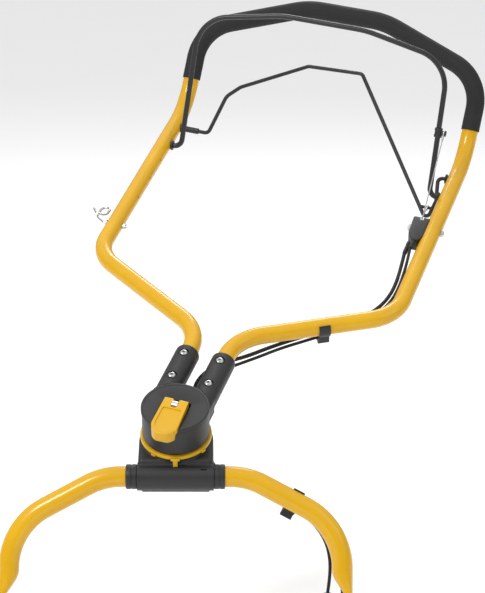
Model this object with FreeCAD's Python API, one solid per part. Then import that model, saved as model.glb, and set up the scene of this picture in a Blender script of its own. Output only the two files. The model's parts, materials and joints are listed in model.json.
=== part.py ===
import FreeCAD, Part
import math
import os

# Swivelling handlebar assembly of a walk-behind landscaping machine.
#
# A bent lower handle bolts to the machine by its two flattened ends. A barrel turns on its
# cross tube, so that the handle folds forward, and carries a swivel hub. The hub holds the
# upper handle, with its grip, a brake bail, a drive bail and their two cables. A cam lever on
# the hub locks the swivel. Millimetres. X is across the machine, +Y points back to the
# operator and +Z is up. The origin is midway between the lower pair of mounting holes.

Vec = FreeCAD.Vector

# Slopes and turns, degrees
HANDLE_SLOPE = 25.0        # swivel plane above the horizontal
LEG_SLOPE = 75.0           # lower handle's legs above the horizontal
SWIVEL_REST = 18.3         # hub turned to the right-hand lock
KINK = 50.0                # grip bends up out of the arms' plane
BRAKE_ANGLE = 64.6         # brake bail above the arms at rest
DRIVE_ANGLE = 25.0         # drive bail above the arms at rest

# Lower handle
LOWER_R = 14.0
LOWER_WALL = 1.5
CROSS_BEND_X = 96.0        # where the cross tube turns outwards
LEG_X = 222.0              # where the slanted run meets the leg
LEG_DROP = 67.0
CROSS_BEND_R = 95.0
LEG_BEND_R = 92.0
PINCH_TOP = 124.0          # the tube starts to flatten, below the cross tube
PINCH_END = 172.0
UPPER_HOLE = 187.0
LOWER_HOLE = 222.0
PADDLE_T = 6.0
PADDLE_W = 38.0
HOLE_R = 4.25

# Barrel on the cross tube
BARREL_R = 18.5
BARREL_HALF = 51.0
BUSH_R = 15.6
COLLAR_R = 16.6
COLLAR_END = 66.0
RUN_GAP = 0.06             # radial clearance of a running fit
SEAT_GAP = 0.05            # radial clearance of a fixed fit
FACE_GAP = 0.3             # gap between faces that slide past each other

# Swivel hub
HUB_BACK = 50.0            # hub axis behind the cross tube
HUB_RISE = 64.0            # upper tube's centre above the cross tube
HUB_R = 45.0
HUB_TOP = 12.0
HUB_FLOOR = -30.0
DETENT_R = 38.5
BALL_R = 4.0
BALL_W = -26.1            # the ball just clears the ring between its seats
RING_R = 48.0
RING_TOP = HUB_FLOOR - FACE_GAP
RING_T = 5.0
AXLE_R = 6.0
LEVER_PIN_W = 18.5
LEVER_PIN_R = 3.0

# Sockets and upper handle
UPPER_R = 12.5
UPPER_WALL = 1.5
SOCKET_V = 26.0
SOCKET_R = 17.0
SOCKET_END = 124.0
TUBE_START = 47.0
SCREW_U = (58.0, 106.0)
NECK_U = 172.0
ELBOW_V, ELBOW_U = 225.0, 290.0
ARM_V, KINK_U = 228.0, 680.0
GRIP_REACH = 130.0
BOW_V, BOW_REACH = 62.0, 190.0
NECK_BEND_R, ELBOW_BEND_R, KINK_BEND_R = 70.0, 65.0, 90.0
GRIP_BEND_R, BOW_BEND_R = 68.0, 125.0
SLEEVE_R = 14.0
SLEEVE_START = 48.0        # along the grip's side, from the kink

# Bails
BRAKE_U, BRAKE_R = 578.0, 4.0
DRIVE_U, DRIVE_R = 626.0, 3.0
BAIL_END_V = 226.0
BUSH_HOLE_R = 6.5

# Cables
BRAKE_CABLE_R, DRIVE_CABLE_R = 2.25, 2.75
WIRE_R = 0.9
CABLE_GAP = 1.0            # between a cable's runs on neighbouring bodies


def unit(vector):
    """The same direction at length one."""
    return vector * (1.0 / vector.Length)


def frame(origin, x_axis, y_axis):
    """A matrix that carries local millimetres into the object's frame."""
    x, y, o = unit(x_axis), unit(y_axis), origin
    z = x.cross(y)
    return FreeCAD.Matrix(x.x, y.x, z.x, o.x, x.y, y.y, z.y, o.y, x.z, y.z, z.z, o.z, 0, 0, 0, 1)


def slope(degrees):
    """The direction, in the YZ plane, that rises back towards the operator."""
    return Vec(0, math.cos(math.radians(degrees)), math.sin(math.radians(degrees)))


X = Vec(1, 0, 0)
CROSS = slope(LEG_SLOPE) * LOWER_HOLE
LEGS = frame(CROSS, X, slope(LEG_SLOPE))
SADDLE = frame(CROSS, X, slope(HANDLE_SLOPE))
HUB_ORIGIN = SADDLE.multVec(Vec(0, HUB_BACK, HUB_RISE))
TURN = math.radians(SWIVEL_REST)
HUB_V = SADDLE.multVec(Vec(math.cos(TURN), -math.sin(TURN), 0)) - CROSS
HUB_U = SADDLE.multVec(Vec(math.sin(TURN), math.cos(TURN), 0)) - CROSS
HUB = frame(HUB_ORIGIN, HUB_V, HUB_U)
SWIVEL = frame(HUB_ORIGIN, X, slope(HANDLE_SLOPE))
KINK_DIR = (math.cos(math.radians(KINK)), math.sin(math.radians(KINK)))


def write(node, shape, matrix):
    """Move a piece from its local frame to the object's and write its file."""
    piece = shape.copy()
    piece.transformShape(matrix, True)
    solids = piece.Solids
    piece = solids[0] if len(solids) == 1 else Part.makeCompound(solids)
    if not all(s.isValid() and s.Volume > 0 for s in solids):
        print("CHECK", node)
    piece.exportStep("parts/%s.step" % node)


def route(points, radii):
    """A wire of straight runs joined by tangent arcs."""
    p = [Vec(*q) for q in points]
    edges, start = [], p[0]
    for i, radius in enumerate(radii, 1):
        back, ahead = unit(p[i - 1] - p[i]), unit(p[i + 1] - p[i])
        turn = math.pi - back.getAngle(ahead)
        reach = radius * math.tan(turn / 2)
        into, out = p[i] + back * reach, p[i] + ahead * reach
        middle = p[i] + unit(back + ahead) * (radius / math.cos(turn / 2) - radius)
        edges.append(Part.LineSegment(start, into).toShape())
        edges.append(Part.Arc(into, middle, out).toShape())
        start = out
    edges.append(Part.LineSegment(start, p[-1]).toShape())
    return Part.Wire(edges)


def rod(points, radii, r):
    """A round bar swept along a route."""
    path = route(points, radii)
    first, second = Vec(*points[0]), Vec(*points[1])
    section = Part.Wire([Part.Circle(first, second - first, r).toShape()])
    bar = path.makePipeShell([section], True, False)
    bar = bar if bar.Volume > 0 else bar.reversed()
    expected = math.pi * r * r * path.Length
    if abs(bar.Volume / expected - 1) > 0.01:
        print("CHECK sweep", round(bar.Volume / expected, 3))
    return bar


def hollow(points, radii, r_out, r_in):
    """A bent tube, open at both ends."""
    ends = [list(q) for q in points]
    first, last = Vec(*points[0]), Vec(*points[-1])
    ends[0] = tuple(first + unit(first - Vec(*points[1])))
    ends[-1] = tuple(last + unit(last - Vec(*points[-2])))
    return rod(points, radii, r_out).cut(rod(ends, radii, r_in))


def cyl(r, start, end):
    """A cylinder between two points."""
    a, b = Vec(*start), Vec(*end)
    return Part.makeCylinder(r, (b - a).Length, a, b - a)


def box(low, high):
    """A block between two corners."""
    size = [h - l for l, h in zip(low, high)]
    return Part.makeBox(size[0], size[1], size[2], Vec(*low))


def ring(r_out, r_in, start, end):
    """A tube between two points."""
    a, b = Vec(*start), Vec(*end)
    reach = unit(b - a)
    return cyl(r_out, start, end).cut(cyl(r_in, tuple(a - reach), tuple(b + reach)))


def hexagon(across, start, end):
    """A hexagonal prism between two points."""
    a, b = Vec(*start), Vec(*end)
    turn = FreeCAD.Rotation(Vec(0, 0, 1), b - a)
    radius = across / math.sqrt(3)
    corners = [a + turn.multVec(Vec(radius * math.cos(math.radians(60 * k)),
                                    radius * math.sin(math.radians(60 * k)), 0)) for k in range(7)]
    return Part.Face(Part.makePolygon(corners)).extrude(b - a)


def screw(shank_r, head_r, head_t, head, tip):
    """A pan-head screw; head is the underside of its head."""
    a, b = Vec(*head), Vec(*tip)
    out = unit(a - b) * head_t
    cap = Part.makeCylinder(head_r, head_t, a, out)
    edge = [e for e in cap.Edges if e.Closed and (e.CenterOfMass - a - out).Length < 0.01]
    return cap.makeFillet(head_t * 0.45, edge).fuse(cyl(shank_r, head, tip))


def nut(across, hole_r, start, end):
    """A hexagonal nut."""
    a, b = Vec(*start), Vec(*end)
    reach = unit(b - a)
    return hexagon(across, start, end).cut(cyl(hole_r, tuple(a - reach), tuple(b + reach)))


def mirrored(shape):
    """The same piece on the other side of the local YZ plane."""
    return shape.mirror(Vec(0, 0, 0), Vec(1, 0, 0))


def stadium(centre_x, y, thick, width):
    """A flat-sided section across the leg, with half-round edges."""
    t, w = thick / 2, width / 2 - thick / 2
    pts = [Vec(centre_x + t, y, -w), Vec(centre_x + t, y, w), Vec(centre_x - t, y, w),
           Vec(centre_x - t, y, -w)]
    return Part.Wire([
        Part.LineSegment(pts[0], pts[1]).toShape(),
        Part.Arc(pts[1], Vec(centre_x, y, w + t), pts[2]).toShape(),
        Part.LineSegment(pts[2], pts[3]).toShape(),
        Part.Arc(pts[3], Vec(centre_x, y, -w - t), pts[0]).toShape()])


def quarter_circle_section(centre_x, y, r):
    """A round section in four arcs, which match the flat-sided section's edges."""
    def on(deg):
        return Vec(centre_x + r * math.cos(math.radians(deg)), y, r * math.sin(math.radians(deg)))
    return Part.Wire([Part.Arc(on(a), on(a + 45), on(a + 90)).toShape() for a in (-45, 45, 135, 225)])


# ---------------------------------------------------------------- lower handle

def lower_tube():
    """Inverted U of round tube with pinched, drilled ends."""
    points = [(-LEG_X, -PINCH_TOP, 0), (-LEG_X, -LEG_DROP, 0), (-CROSS_BEND_X, 0, 0),
              (CROSS_BEND_X, 0, 0), (LEG_X, -LEG_DROP, 0), (LEG_X, -PINCH_TOP, 0)]
    radii = [LEG_BEND_R, CROSS_BEND_R, CROSS_BEND_R, LEG_BEND_R]
    flat_x = LEG_X + LOWER_R - PADDLE_T / 2
    pinch = Part.makeLoft([quarter_circle_section(LEG_X, -PINCH_TOP, LOWER_R),
                           stadium(flat_x, -PINCH_END, PADDLE_T, PADDLE_W)], True)
    bore = Part.makeLoft([quarter_circle_section(LEG_X, -PINCH_TOP, LOWER_R - LOWER_WALL),
                          stadium(flat_x, -PINCH_END + 6, 1.2, PADDLE_W - 10)], True)
    half = PADDLE_T / 2
    paddle = box((flat_x - half, -LOWER_HOLE, -PADDLE_W / 2),
                 (flat_x + half, -PINCH_END, PADDLE_W / 2))
    paddle = paddle.fuse(cyl(PADDLE_W / 2, (flat_x - half, -LOWER_HOLE, 0),
                             (flat_x + half, -LOWER_HOLE, 0)))
    foot = pinch.fuse(paddle)
    for drop in (UPPER_HOLE, LOWER_HOLE):
        foot = foot.cut(cyl(HOLE_R, (flat_x - 20, -drop, 0), (flat_x + 20, -drop, 0)))
    solid = rod(points, radii, LOWER_R).fuse([foot, mirrored(foot)])
    inside = rod(points, radii, LOWER_R - LOWER_WALL).fuse([bore, mirrored(bore)])
    return solid.cut(inside)


def collar():
    """Moulded stop ring beside the barrel."""
    return ring(COLLAR_R, LOWER_R + SEAT_GAP, (BARREL_HALF + FACE_GAP, 0, 0), (COLLAR_END, 0, 0))


# ---------------------------------------------------------------- saddle on the cross tube

DISC_TOP = HUB_RISE + RING_TOP - RING_T        # saddle disc, measured from the cross tube
DISC_LOW = DISC_TOP - 9.0
FOOT_TOP, FOOT_LOW = -17.0, -21.5
BLOCK_LOW = FOOT_TOP + 0.2
SIDE_X = 50.0
BLOCK_FRONT = 4.0           # leaves room for the ring's pointer
CAP_SCREWS = (-34.0, 34.0)
NUT_ROOM_R, NUT_ROOM_TOP = 15.0, 10.0


def saddle():
    """Rear half of the barrel with the disc that the hub turns on."""
    barrel = cyl(BARREL_R, (-BARREL_HALF, 0, 0), (BARREL_HALF, 0, 0))
    front = box((-60, -40, -40), (60, 0.1, 40))
    half = barrel.cut(front)
    block = box((-SIDE_X, BLOCK_FRONT, BLOCK_LOW), (SIDE_X, HUB_BACK, DISC_LOW + 4))
    block = block.fuse(cyl(SIDE_X, (0, HUB_BACK, 6), (0, HUB_BACK, DISC_LOW + 4)))
    rear = [e for e in block.Edges if abs(e.BoundBox.YMin - HUB_BACK) < 0.1
            and e.BoundBox.ZMax < 5 and e.BoundBox.XLength > 50]
    block = block.makeFillet(10, rear).cut(box((-60, -10, -40), (60, BLOCK_FRONT, 40)))
    disc = cyl(HUB_R + 1, (0, HUB_BACK, DISC_LOW), (0, HUB_BACK, DISC_TOP))
    body = half.fuse([block, disc]).cut(cyl(BUSH_R + SEAT_GAP, (-80, 0, 0), (80, 0, 0)))
    hollow_block = box((-SIDE_X + 4, 22, BLOCK_LOW - 1), (-20, 46, DISC_LOW - 2))
    for pocket in (hollow_block, mirrored(hollow_block)):
        body = body.cut(pocket)
    body = body.cut(cyl(NUT_ROOM_R, (0, HUB_BACK, -40), (0, HUB_BACK, NUT_ROOM_TOP)))
    body = body.cut(cyl(AXLE_R + RUN_GAP, (0, HUB_BACK, -40), (0, HUB_BACK, 40)))
    body = body.cut(box((-60, 0, -40), (60, 22, BLOCK_LOW)))
    for x in CAP_SCREWS:
        body = body.cut(cyl(2.5, (x, 18, -40), (x, 18, 0)))
    return body


def barrel_cap():
    """Front half of the barrel with a foot that screws up under the saddle."""
    barrel = cyl(BARREL_R, (-BARREL_HALF, 0, 0), (BARREL_HALF, 0, 0))
    front = barrel.common(box((-60, -40, -40), (60, -0.1, 40)))
    foot = box((-46, -7, FOOT_LOW), (46, 21.5, FOOT_TOP))
    corners = [e for e in foot.Edges if e.BoundBox.ZLength > 4]
    foot = foot.makeFillet(3, corners)
    front_block = box((-46, -7, FOOT_TOP - 0.5), (46, -0.1, -12))
    cap = front.fuse([foot, front_block]).cut(cyl(BUSH_R + SEAT_GAP, (-80, 0, 0), (80, 0, 0)))
    for x in CAP_SCREWS:
        cap = cap.cut(cyl(2.7, (x, 18, -40), (x, 18, 0)))
    key_mark = box((33.7, -5.9, 16.3), (41.7, -3.7, 19.4))
    return cap.cut(key_mark)


def cap_screws():
    """Two screws that hold the barrel cap."""
    return Part.makeCompound([screw(2.4, 4.5, 2.5, (x, 18, FOOT_LOW - 0.05), (x, 18, -6))
                              for x in CAP_SCREWS])


def barrel_bush():
    """Plain sleeve between the cross tube and the barrel."""
    return ring(BUSH_R, LOWER_R + RUN_GAP, (6, 0, 0), (BARREL_HALF - 0.5, 0, 0))


def index_ring():
    """Detent ring under the hub, with the pointer that locates it on the barrel."""
    low, high = RING_TOP - RING_T + 0.1, RING_TOP
    body = ring(RING_R, 34.0, (0, 0, low), (0, 0, high))
    upper = [e for e in body.Edges if abs(e.BoundBox.ZMax - high) < 0.01 and e.BoundBox.XLength > 90]
    body = body.makeChamfer(0.8, upper)
    pointer = box((-3, -RING_R - 2.5, -52), (3, -RING_R + 0.5, high - 0.5))
    lug = box((-6, -RING_R - 2.5, low), (6, -RING_R + 3, high - 0.5))
    tongue = box((-3.5, -2, low), (3.5, 1.8, high - 0.8))
    body = body.fuse([pointer.cut(cyl(BARREL_R + 0.25, (-20, -HUB_BACK, -HUB_RISE),
                                      (20, -HUB_BACK, -HUB_RISE))), lug])
    for turn in (-127, -40, 45):
        tab = tongue.copy()
        tab.translate(Vec(0, RING_R, 0))
        tab.rotate(Vec(0, 0, 0), Vec(0, 0, 1), turn - 90)
        body = body.fuse(tab)
    for k in range(5):
        turn = math.radians(SWIVEL_REST * (k - 2) / 2 + 90)
        seat = Vec(DETENT_R * math.cos(turn), DETENT_R * math.sin(turn), BALL_W)
        body = body.cut(Part.makeSphere(BALL_R + 0.6, seat))
    return body


# ---------------------------------------------------------------- hub

CAVITY_R = 32.0
CAVITY_TOP = 3.0
COVER_R = 46.0
COVER_TOP = 17.3
CHANNEL_HALF = 19.2        # the lever lies between the cover's two sides
CHANNEL_END = 12.0
WELL_FLOOR = 9.0
BRACKET_U = 492.0
BRACKET_TOP = 510.0
WIRE_END_U = 505.0


def hub_housing():
    """Moulded hub with the two tube sockets."""
    drum = cyl(HUB_R, (0, 0, HUB_FLOOR), (0, 0, HUB_TOP))
    low = [e for e in drum.Edges if e.Closed and e.BoundBox.ZMax < HUB_FLOOR + 1]
    body = drum.makeFillet(1.5, low)
    for v in (-SOCKET_V, SOCKET_V):
        sleeve = cyl(SOCKET_R, (v, 22, 0), (v, SOCKET_END, 0))
        mouth = [e for e in sleeve.Edges if e.Closed and e.BoundBox.YMin > SOCKET_END - 1]
        body = body.fuse(sleeve.makeFillet(3, mouth))
    web = box((-14, 30, -12), (14, 46, 8))
    body = body.fuse(web)
    body = body.cut(cyl(COVER_R + 0.3, (0, 0, HUB_TOP), (0, 0, 40)))
    body = body.cut(box((-19, -7, WELL_FLOOR), (19, CHANNEL_END, 40)))
    body = body.cut(cyl(CAVITY_R, (0, 0, HUB_FLOOR - 1), (0, 0, CAVITY_TOP)))
    body = body.cut(cyl(AXLE_R + SEAT_GAP, (0, 0, -60), (0, 0, 60)))
    for v in (-SOCKET_V, SOCKET_V):
        body = body.cut(cyl(UPPER_R + SEAT_GAP, (v, TUBE_START - 0.5, 0), (v, SOCKET_END + 5, 0)))
        for u in SCREW_U:
            body = body.cut(cyl(3.1, (v, u, -30), (v, u, 30)))
            body = body.cut(cyl(7.0, (v, u, 14.6), (v, u, 30)))
            body = body.cut(cyl(7.0, (v, u, -30), (v, u, -14.0)))
    turn = math.radians(90)
    seat = (DETENT_R * math.cos(turn), DETENT_R * math.sin(turn))
    body = body.cut(cyl(4.1, (seat[0], seat[1], HUB_FLOOR - 1), (seat[0], seat[1], -14)))
    return body


def hub_cover():
    """Round cover with an open channel for the lock lever."""
    plate = cyl(COVER_R, (0, 0, HUB_TOP + SEAT_GAP), (0, 0, COVER_TOP))
    rim = [e for e in plate.Edges if e.Closed and e.BoundBox.ZMin > COVER_TOP - 0.01]
    plate = plate.makeFillet(1.4, rim)
    return plate.cut(box((-CHANNEL_HALF, -60, 0), (CHANNEL_HALF, CHANNEL_END, 40)))


def lock_lever():
    """Cam lever with a recessed panel and a fork round the eye of the axle."""
    side = [(8.5, 15.0), (8.5, 21.5), (6.0, 23.8), (-55.5, 19.9), (-58.0, 17.5), (-58.0, 9.0),
            (-57.0, 4.0), (-48.0, 4.0), (-46.8, 11.4), (-45.6, 12.8), (-8.0, 12.8), (3.0, 12.4)]
    half = 18.0
    face = Part.Face(Part.makePolygon([Vec(-half, u, w) for u, w in side + side[:1]]))
    body = face.extrude(Vec(2 * half, 0, 0))
    edge = [Vec(-16.3, 9, 0), Vec(16.3, 9, 0), Vec(18.0, -42, 0), Vec(0, -58, 0), Vec(-18.0, -42, 0)]
    outline = Part.Wire([
        Part.LineSegment(edge[0], edge[1]).toShape(), Part.LineSegment(edge[1], edge[2]).toShape(),
        Part.Arc(edge[2], edge[3], edge[4]).toShape(), Part.LineSegment(edge[4], edge[0]).toShape()])
    body = body.common(Part.Face(outline).extrude(Vec(0, 0, 40)))
    panel = box((-11, -51, 21.3), (11, -10.5, 40))
    panel.rotate(Vec(0, -10.5, 21.3), Vec(1, 0, 0), 3.6)
    body = body.cut(panel)
    body = body.cut(box((-4.4, -8, 5), (4.4, 20, 40)))
    return body.cut(cyl(LEVER_PIN_R + SEAT_GAP, (-30, 0, LEVER_PIN_W), (30, 0, LEVER_PIN_W)))


def axle_bolt():
    """Eye bolt down the swivel axis."""
    shank = cyl(AXLE_R, (0, 0, -74), (0, 0, 14))
    eye = cyl(6.0, (-4.0, 0, LEVER_PIN_W), (4.0, 0, LEVER_PIN_W))
    neck = box((-4.0, -4.4, 8), (4.0, 4.4, LEVER_PIN_W))
    shank = shank.cut(box((-20, -20, 9.0), (20, 20, 40)))
    return shank.fuse([neck, eye]).cut(
        cyl(LEVER_PIN_R + RUN_GAP, (-30, 0, LEVER_PIN_W), (30, 0, LEVER_PIN_W)))


def disc_springs():
    """Conical spring washers that keep the hub pressed on its ring."""
    springs = []
    for k in range(2):
        low = -62.0 + 2.6 * k
        face = Part.Face(Part.makePolygon([Vec(6.3, 0, low), Vec(11.5, 0, low + 1.0),
                                           Vec(11.5, 0, low + 2.2), Vec(6.3, 0, low + 1.2),
                                           Vec(6.3, 0, low)]))
        springs.append(face.revolve(Vec(0, 0, 0), Vec(0, 0, 1), 360))
    return Part.makeCompound(springs)


def detent_spring():
    """Small coil spring behind the detent ball, as its closed outline."""
    return ring(3.2, 2.2, (0, DETENT_R, BALL_W + BALL_R + 0.1), (0, DETENT_R, -14.2))


# ---------------------------------------------------------------- upper handle

def arm_side(side):
    """Corner points of one arm, from its socket to the grip's bow."""
    c, s = KINK_DIR
    return [(side * SOCKET_V, TUBE_START, 0), (side * SOCKET_V, NECK_U, 0),
            (side * ELBOW_V, ELBOW_U, 0), (side * ARM_V, KINK_U, 0),
            (side * ARM_V, KINK_U + GRIP_REACH * c, GRIP_REACH * s),
            (side * BOW_V, KINK_U + BOW_REACH * c, BOW_REACH * s)]


def arm_v(u):
    """Half the distance between the arms' centres at a station above the elbows."""
    return ELBOW_V + (ARM_V - ELBOW_V) * (u - ELBOW_U) / (KINK_U - ELBOW_U)


ARM_RADII = [NECK_BEND_R, ELBOW_BEND_R, KINK_BEND_R, GRIP_BEND_R, BOW_BEND_R]
GUIDE_U = 362.0
VENT_HOLES = (430.0, 482.0, 530.0, 604.0)


def upper_tube():
    """One bent tube from socket to socket, drilled for screws, bails and bracket."""
    points = arm_side(-1) + arm_side(1)[::-1]
    body = hollow(points, ARM_RADII + ARM_RADII[::-1], UPPER_R, UPPER_R - UPPER_WALL)
    drills = []
    for v in (-SOCKET_V, SOCKET_V):
        drills += [cyl(3.1, (v, u, -30), (v, u, 30)) for u in SCREW_U]
    for side in (-1, 1):
        for u in (BRAKE_U, DRIVE_U):
            drills.append(cyl(BUSH_HOLE_R, (side * 190, u, 0), (side * arm_v(u), u, 0)))
    drills.append(cyl(3.1, (180, BRACKET_U, 0), (260, BRACKET_U, 0)))
    drills.append(cyl(2.1, (-180, GUIDE_U, 0), (-260, GUIDE_U, 0)))
    drills += [cyl(1.6, (-190, u, 4), (-arm_v(u), u, 4)) for u in VENT_HOLES]
    for drill in drills:
        body = body.cut(drill)
    return body


def grip_sleeve():
    """Foam sleeve over the grip."""
    c, s = KINK_DIR
    points = []
    for side in (-1, 1):
        arm = arm_side(side)[4:]
        start = (side * ARM_V, KINK_U + SLEEVE_START * c, SLEEVE_START * s)
        run = [start] + arm
        points += run if side < 0 else run[::-1]
    radii = [GRIP_BEND_R, BOW_BEND_R, BOW_BEND_R, GRIP_BEND_R]
    return hollow(points, radii, SLEEVE_R, UPPER_R + SEAT_GAP)


def in_plane(pivot_u, angle):
    """A bail's own plane as a matrix in the hub's frame: across, out from the pivot, normal."""
    a = math.radians(angle)
    return frame(Vec(0, pivot_u, 0), X, Vec(0, math.cos(a), math.sin(a)))


def brake_bail():
    """Wire loop over the grip that stops the machine when it is let go."""
    corner_v, corner_h, bow_v, bow_h = 195.7, 204.0, 65.0, 228.6
    half = [(BAIL_END_V, 0, 0), (199, 0, 0), (corner_v, corner_h, 0), (bow_v, bow_h, 0)]
    points = [(-v, h, n) for v, h, n in half] + half[::-1]
    radii = [12, 55, 150, 150, 55, 12]
    return rod(points, radii, BRAKE_R)


def drive_bail():
    """Offset wire lever that is pulled up to engage the wheels or fan."""
    points = [(-BAIL_END_V, 0, 0), (-171, 0, 0), (-162, 71, 0), (-145, 92, 0), (-49, 152, 0),
              (38, 156, 0), (202, -77, 0), (208, -40, 0), (201, 0, 0), (BAIL_END_V, 0, 0)]
    wire = rod(points, [7, 22, 16, 9, 9, 5.5, 12, 7], DRIVE_R)
    return wire.fuse(cyl(DRIVE_PIN_R, (187.0, DRIVE_PIN_H, 0), (205.0, DRIVE_PIN_H, 0)))


def bail_bush(side, u, wire_r):
    """Flanged bush in the arm's inner wall."""
    inner = arm_v(u) - UPPER_R
    body = ring(BUSH_HOLE_R - SEAT_GAP, wire_r + RUN_GAP, (side * (inner + 4), u, 0),
                (side * (inner - 1.5), u, 0))
    return body.fuse(ring(7.6, wire_r + RUN_GAP, (side * (inner - 0.4), u, 0),
                          (side * (inner - 3.0), u, 0)))


def cable_bracket():
    """Moulded anchor block for both cable sheaths on the right arm."""
    top = BRACKET_TOP
    outline = [(193, top), (218, top), (218, 464), (212, 455), (203, 455), (195, 470), (193.5, 496)]
    face = Part.Face(Part.makePolygon([Vec(v, u, -11) for v, u in outline + outline[:1]]))
    body = face.extrude(Vec(0, 0, 21))
    lower = arm_v(440)
    upper = arm_v(530)
    body = body.cut(cyl(UPPER_R + 0.1, (lower, 440, 0), (upper, 530, 0)))
    body = body.cut(cyl(3.1, (180, BRACKET_U, 0), (260, BRACKET_U, 0)))
    for bore in BRACKET_BORES:
        body = body.cut(cyl(2.2, (bore[0], 445, bore[1]), (bore[0], 530, bore[1])))
        body = body.cut(cyl(3.6, (bore[0], 445, bore[1]), (bore[0], 465, bore[1])))
        body = body.cut(cyl(5.2, (bore[0], top - 7, bore[1]), (bore[0], 530, bore[1])))
    return body


BRACKET_BORES = ((206.2, 5.5), (198.2, -6.5))


def ferrule(bore):
    """Sheath end cap seated in the bracket."""
    v, w = bore
    return ring(3.5, 1.3, (v, 438, w), (v, 464.8, w))


# Where the wires leave the bails, in each bail's own plane
BRAKE_PIN_H, BRAKE_PIN_R = 97.0, 3.0
DRIVE_PIN_H, DRIVE_PIN_R = -54.0, 2.4

# Upper cables, in the hub's frame: from the bracket's foot round the elbow to the hub's rear
BRAKE_UPPER = [(206.2, 437.5, 5.5), (209, 410, -1), (210, 378, -7), (209, 350, -11),
               (204, 328, -15), (193, 306, -18), (176, 284, -19), (155, 262, -19.5),
               (134, 238.5, -18.5), (106, 215, -20), (82, 195, -22), (60, 174, -25),
               (40, 157, -28), (20, 140, -30.5), (3, 123, -32.5), (-4, 104, -36), (-5, 87, -40),
               (-4, 75, -45.5), (-1, 66, -51), (6, 60, -57)]
DRIVE_UPPER = [(198.2, 437.5, -6.5), (201, 408, -9), (203, 376, -12), (201, 348, -15),
               (194, 326, -18), (183, 306, -20), (167, 288, -20), (148, 268, -19), (130, 247, -18),
               (112, 229, -17), (88, 208, -18), (66, 188, -20), (46, 168, -22), (26, 152, -23),
               (9, 136, -24), (-1, 119, -25.5), (-6, 104, -28), (-6, 90, -31.5), (0, 78, -36.5),
               (7, 70, -43), (14, 64, -50)]
CLIP_POINT = 8             # the upper cables' point in the clip

# Loop behind the saddle, in the saddle's frame
BRAKE_LOOP = [(33, 91.5, -7), (38, 80, -22.5), (44, 62, -33), (56, 42, -36), (76, 27, -36)]
DRIVE_LOOP = [(41, 91, 0), (45, 79, -15), (46, 66, -25.5), (48, 52, -28.5), (60, 40, -28),
              (78, 33, -26.5)]

# Lower cables, in the legs' frame: behind the cross tube and down the right leg
BRAKE_LOWER = [(104, -14, -36), (124, -27, -25), (142.5, -38.6, -18.5), (160, -47.6, -17.5),
               (177, -57.2, -17.5), (191, -72, -17), (201, -89, -15), (205.5, -107, -14),
               (206.5, -124, -13.5), (205, -142, -13), (203, -156, -13)]
DRIVE_LOWER = [(104, -2, -36), (124, -20, -31), (140.8, -38, -26), (160, -49.1, -25),
               (177, -58, -24.5), (192, -70, -24), (206, -87, -23), (214.5, -107, -22),
               (218, -127, -22.5), (222.5, -146, -24), (224, -158, -24)]


def even_radii(points):
    """Arcs as large as the runs beside each point allow."""
    p = [Vec(*q) for q in points]
    radii = []
    for i in range(1, len(p) - 1):
        back, ahead = p[i - 1] - p[i], p[i + 1] - p[i]
        turn = math.pi - back.getAngle(ahead)
        radii.append(0.45 * min(back.Length, ahead.Length) / math.tan(turn / 2))
    return radii


def cable(name, points, r):
    """A sheathed cable along a route, with its bend radii printed."""
    radii = even_radii(points)
    print(name, "tightest bend", round(min(radii)), "mm")
    return rod(points, radii, r)


def local(matrix, point):
    """A point of the object in another frame's own millimetres."""
    return tuple(matrix.inverse().multVec(Vec(*point)))


def carried(point, source, target):
    """A point given in one frame, told in another."""
    return local(target, tuple(source.multVec(Vec(*point))))


def after(points, gap):
    """A point a little beyond the end of a route."""
    last = Vec(*points[-1])
    return tuple(last + unit(last - Vec(*points[-2])) * gap)


def loop_points(upper, loop):
    """The loop's points, from just beyond the upper run."""
    return [carried(after(upper, CABLE_GAP), HUB, SADDLE)] + loop


def lower_points(loop, lower):
    """The lower run's points, from just beyond the loop."""
    return [carried(after(loop, CABLE_GAP), SADDLE, LEGS)] + lower


CLIP_HALF = 8.0


def strap_clip(centre, along, r_tube, bores, block, gap):
    """Clip that grips part of a tube, with a block for both cables.

    along is the tube's direction, block the cable block's low and high corner across the tube,
    and gap the two angles, in degrees, between which the band is open.
    """
    c, t = Vec(*centre), unit(Vec(*along))
    n = Vec(0, 0, 1)
    p = n.cross(t)
    place = FreeCAD.Matrix(t.x, p.x, n.x, c.x, t.y, p.y, n.y, c.y, t.z, p.z, n.z, c.z, 0, 0, 0, 1)
    half = CLIP_HALF
    band = ring(r_tube + 2.2, r_tube + 0.15, (-half, 0, 0), (half, 0, 0))
    wedge = [(0, 0)] + [(60 * math.cos(math.radians(a)), 60 * math.sin(math.radians(a)))
                        for a in (gap[0], (gap[0] + gap[1]) / 2, gap[1])]
    opening = Part.Face(Part.makePolygon([Vec(-half - 1, y, z) for y, z in wedge + wedge[:1]]))
    band = band.cut(opening.extrude(Vec(2 * half + 2, 0, 0)))
    holder = box((-half, block[0][0], block[0][1]), (half, block[1][0], block[1][1]))
    holder = holder.makeFillet(2.0, [e for e in holder.Edges if e.BoundBox.XLength > 10])
    body = band.fuse(holder).cut(cyl(r_tube + 0.15, (-20, 0, 0), (20, 0, 0)))
    for row, height, r in bores:
        body = body.cut(cyl(r, (-20, row, height), (20, row, height)))
    body.transformShape(place, True)
    return body


def clip_bores(centre, along, held):
    """Where a clip's bores are, from the points and radii of the cables that it holds."""
    across = Vec(0, 0, 1).cross(unit(Vec(*along)))
    return [((Vec(*point) - Vec(*centre)).dot(across), point[2], r + 2.8) for point, r in held]


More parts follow.
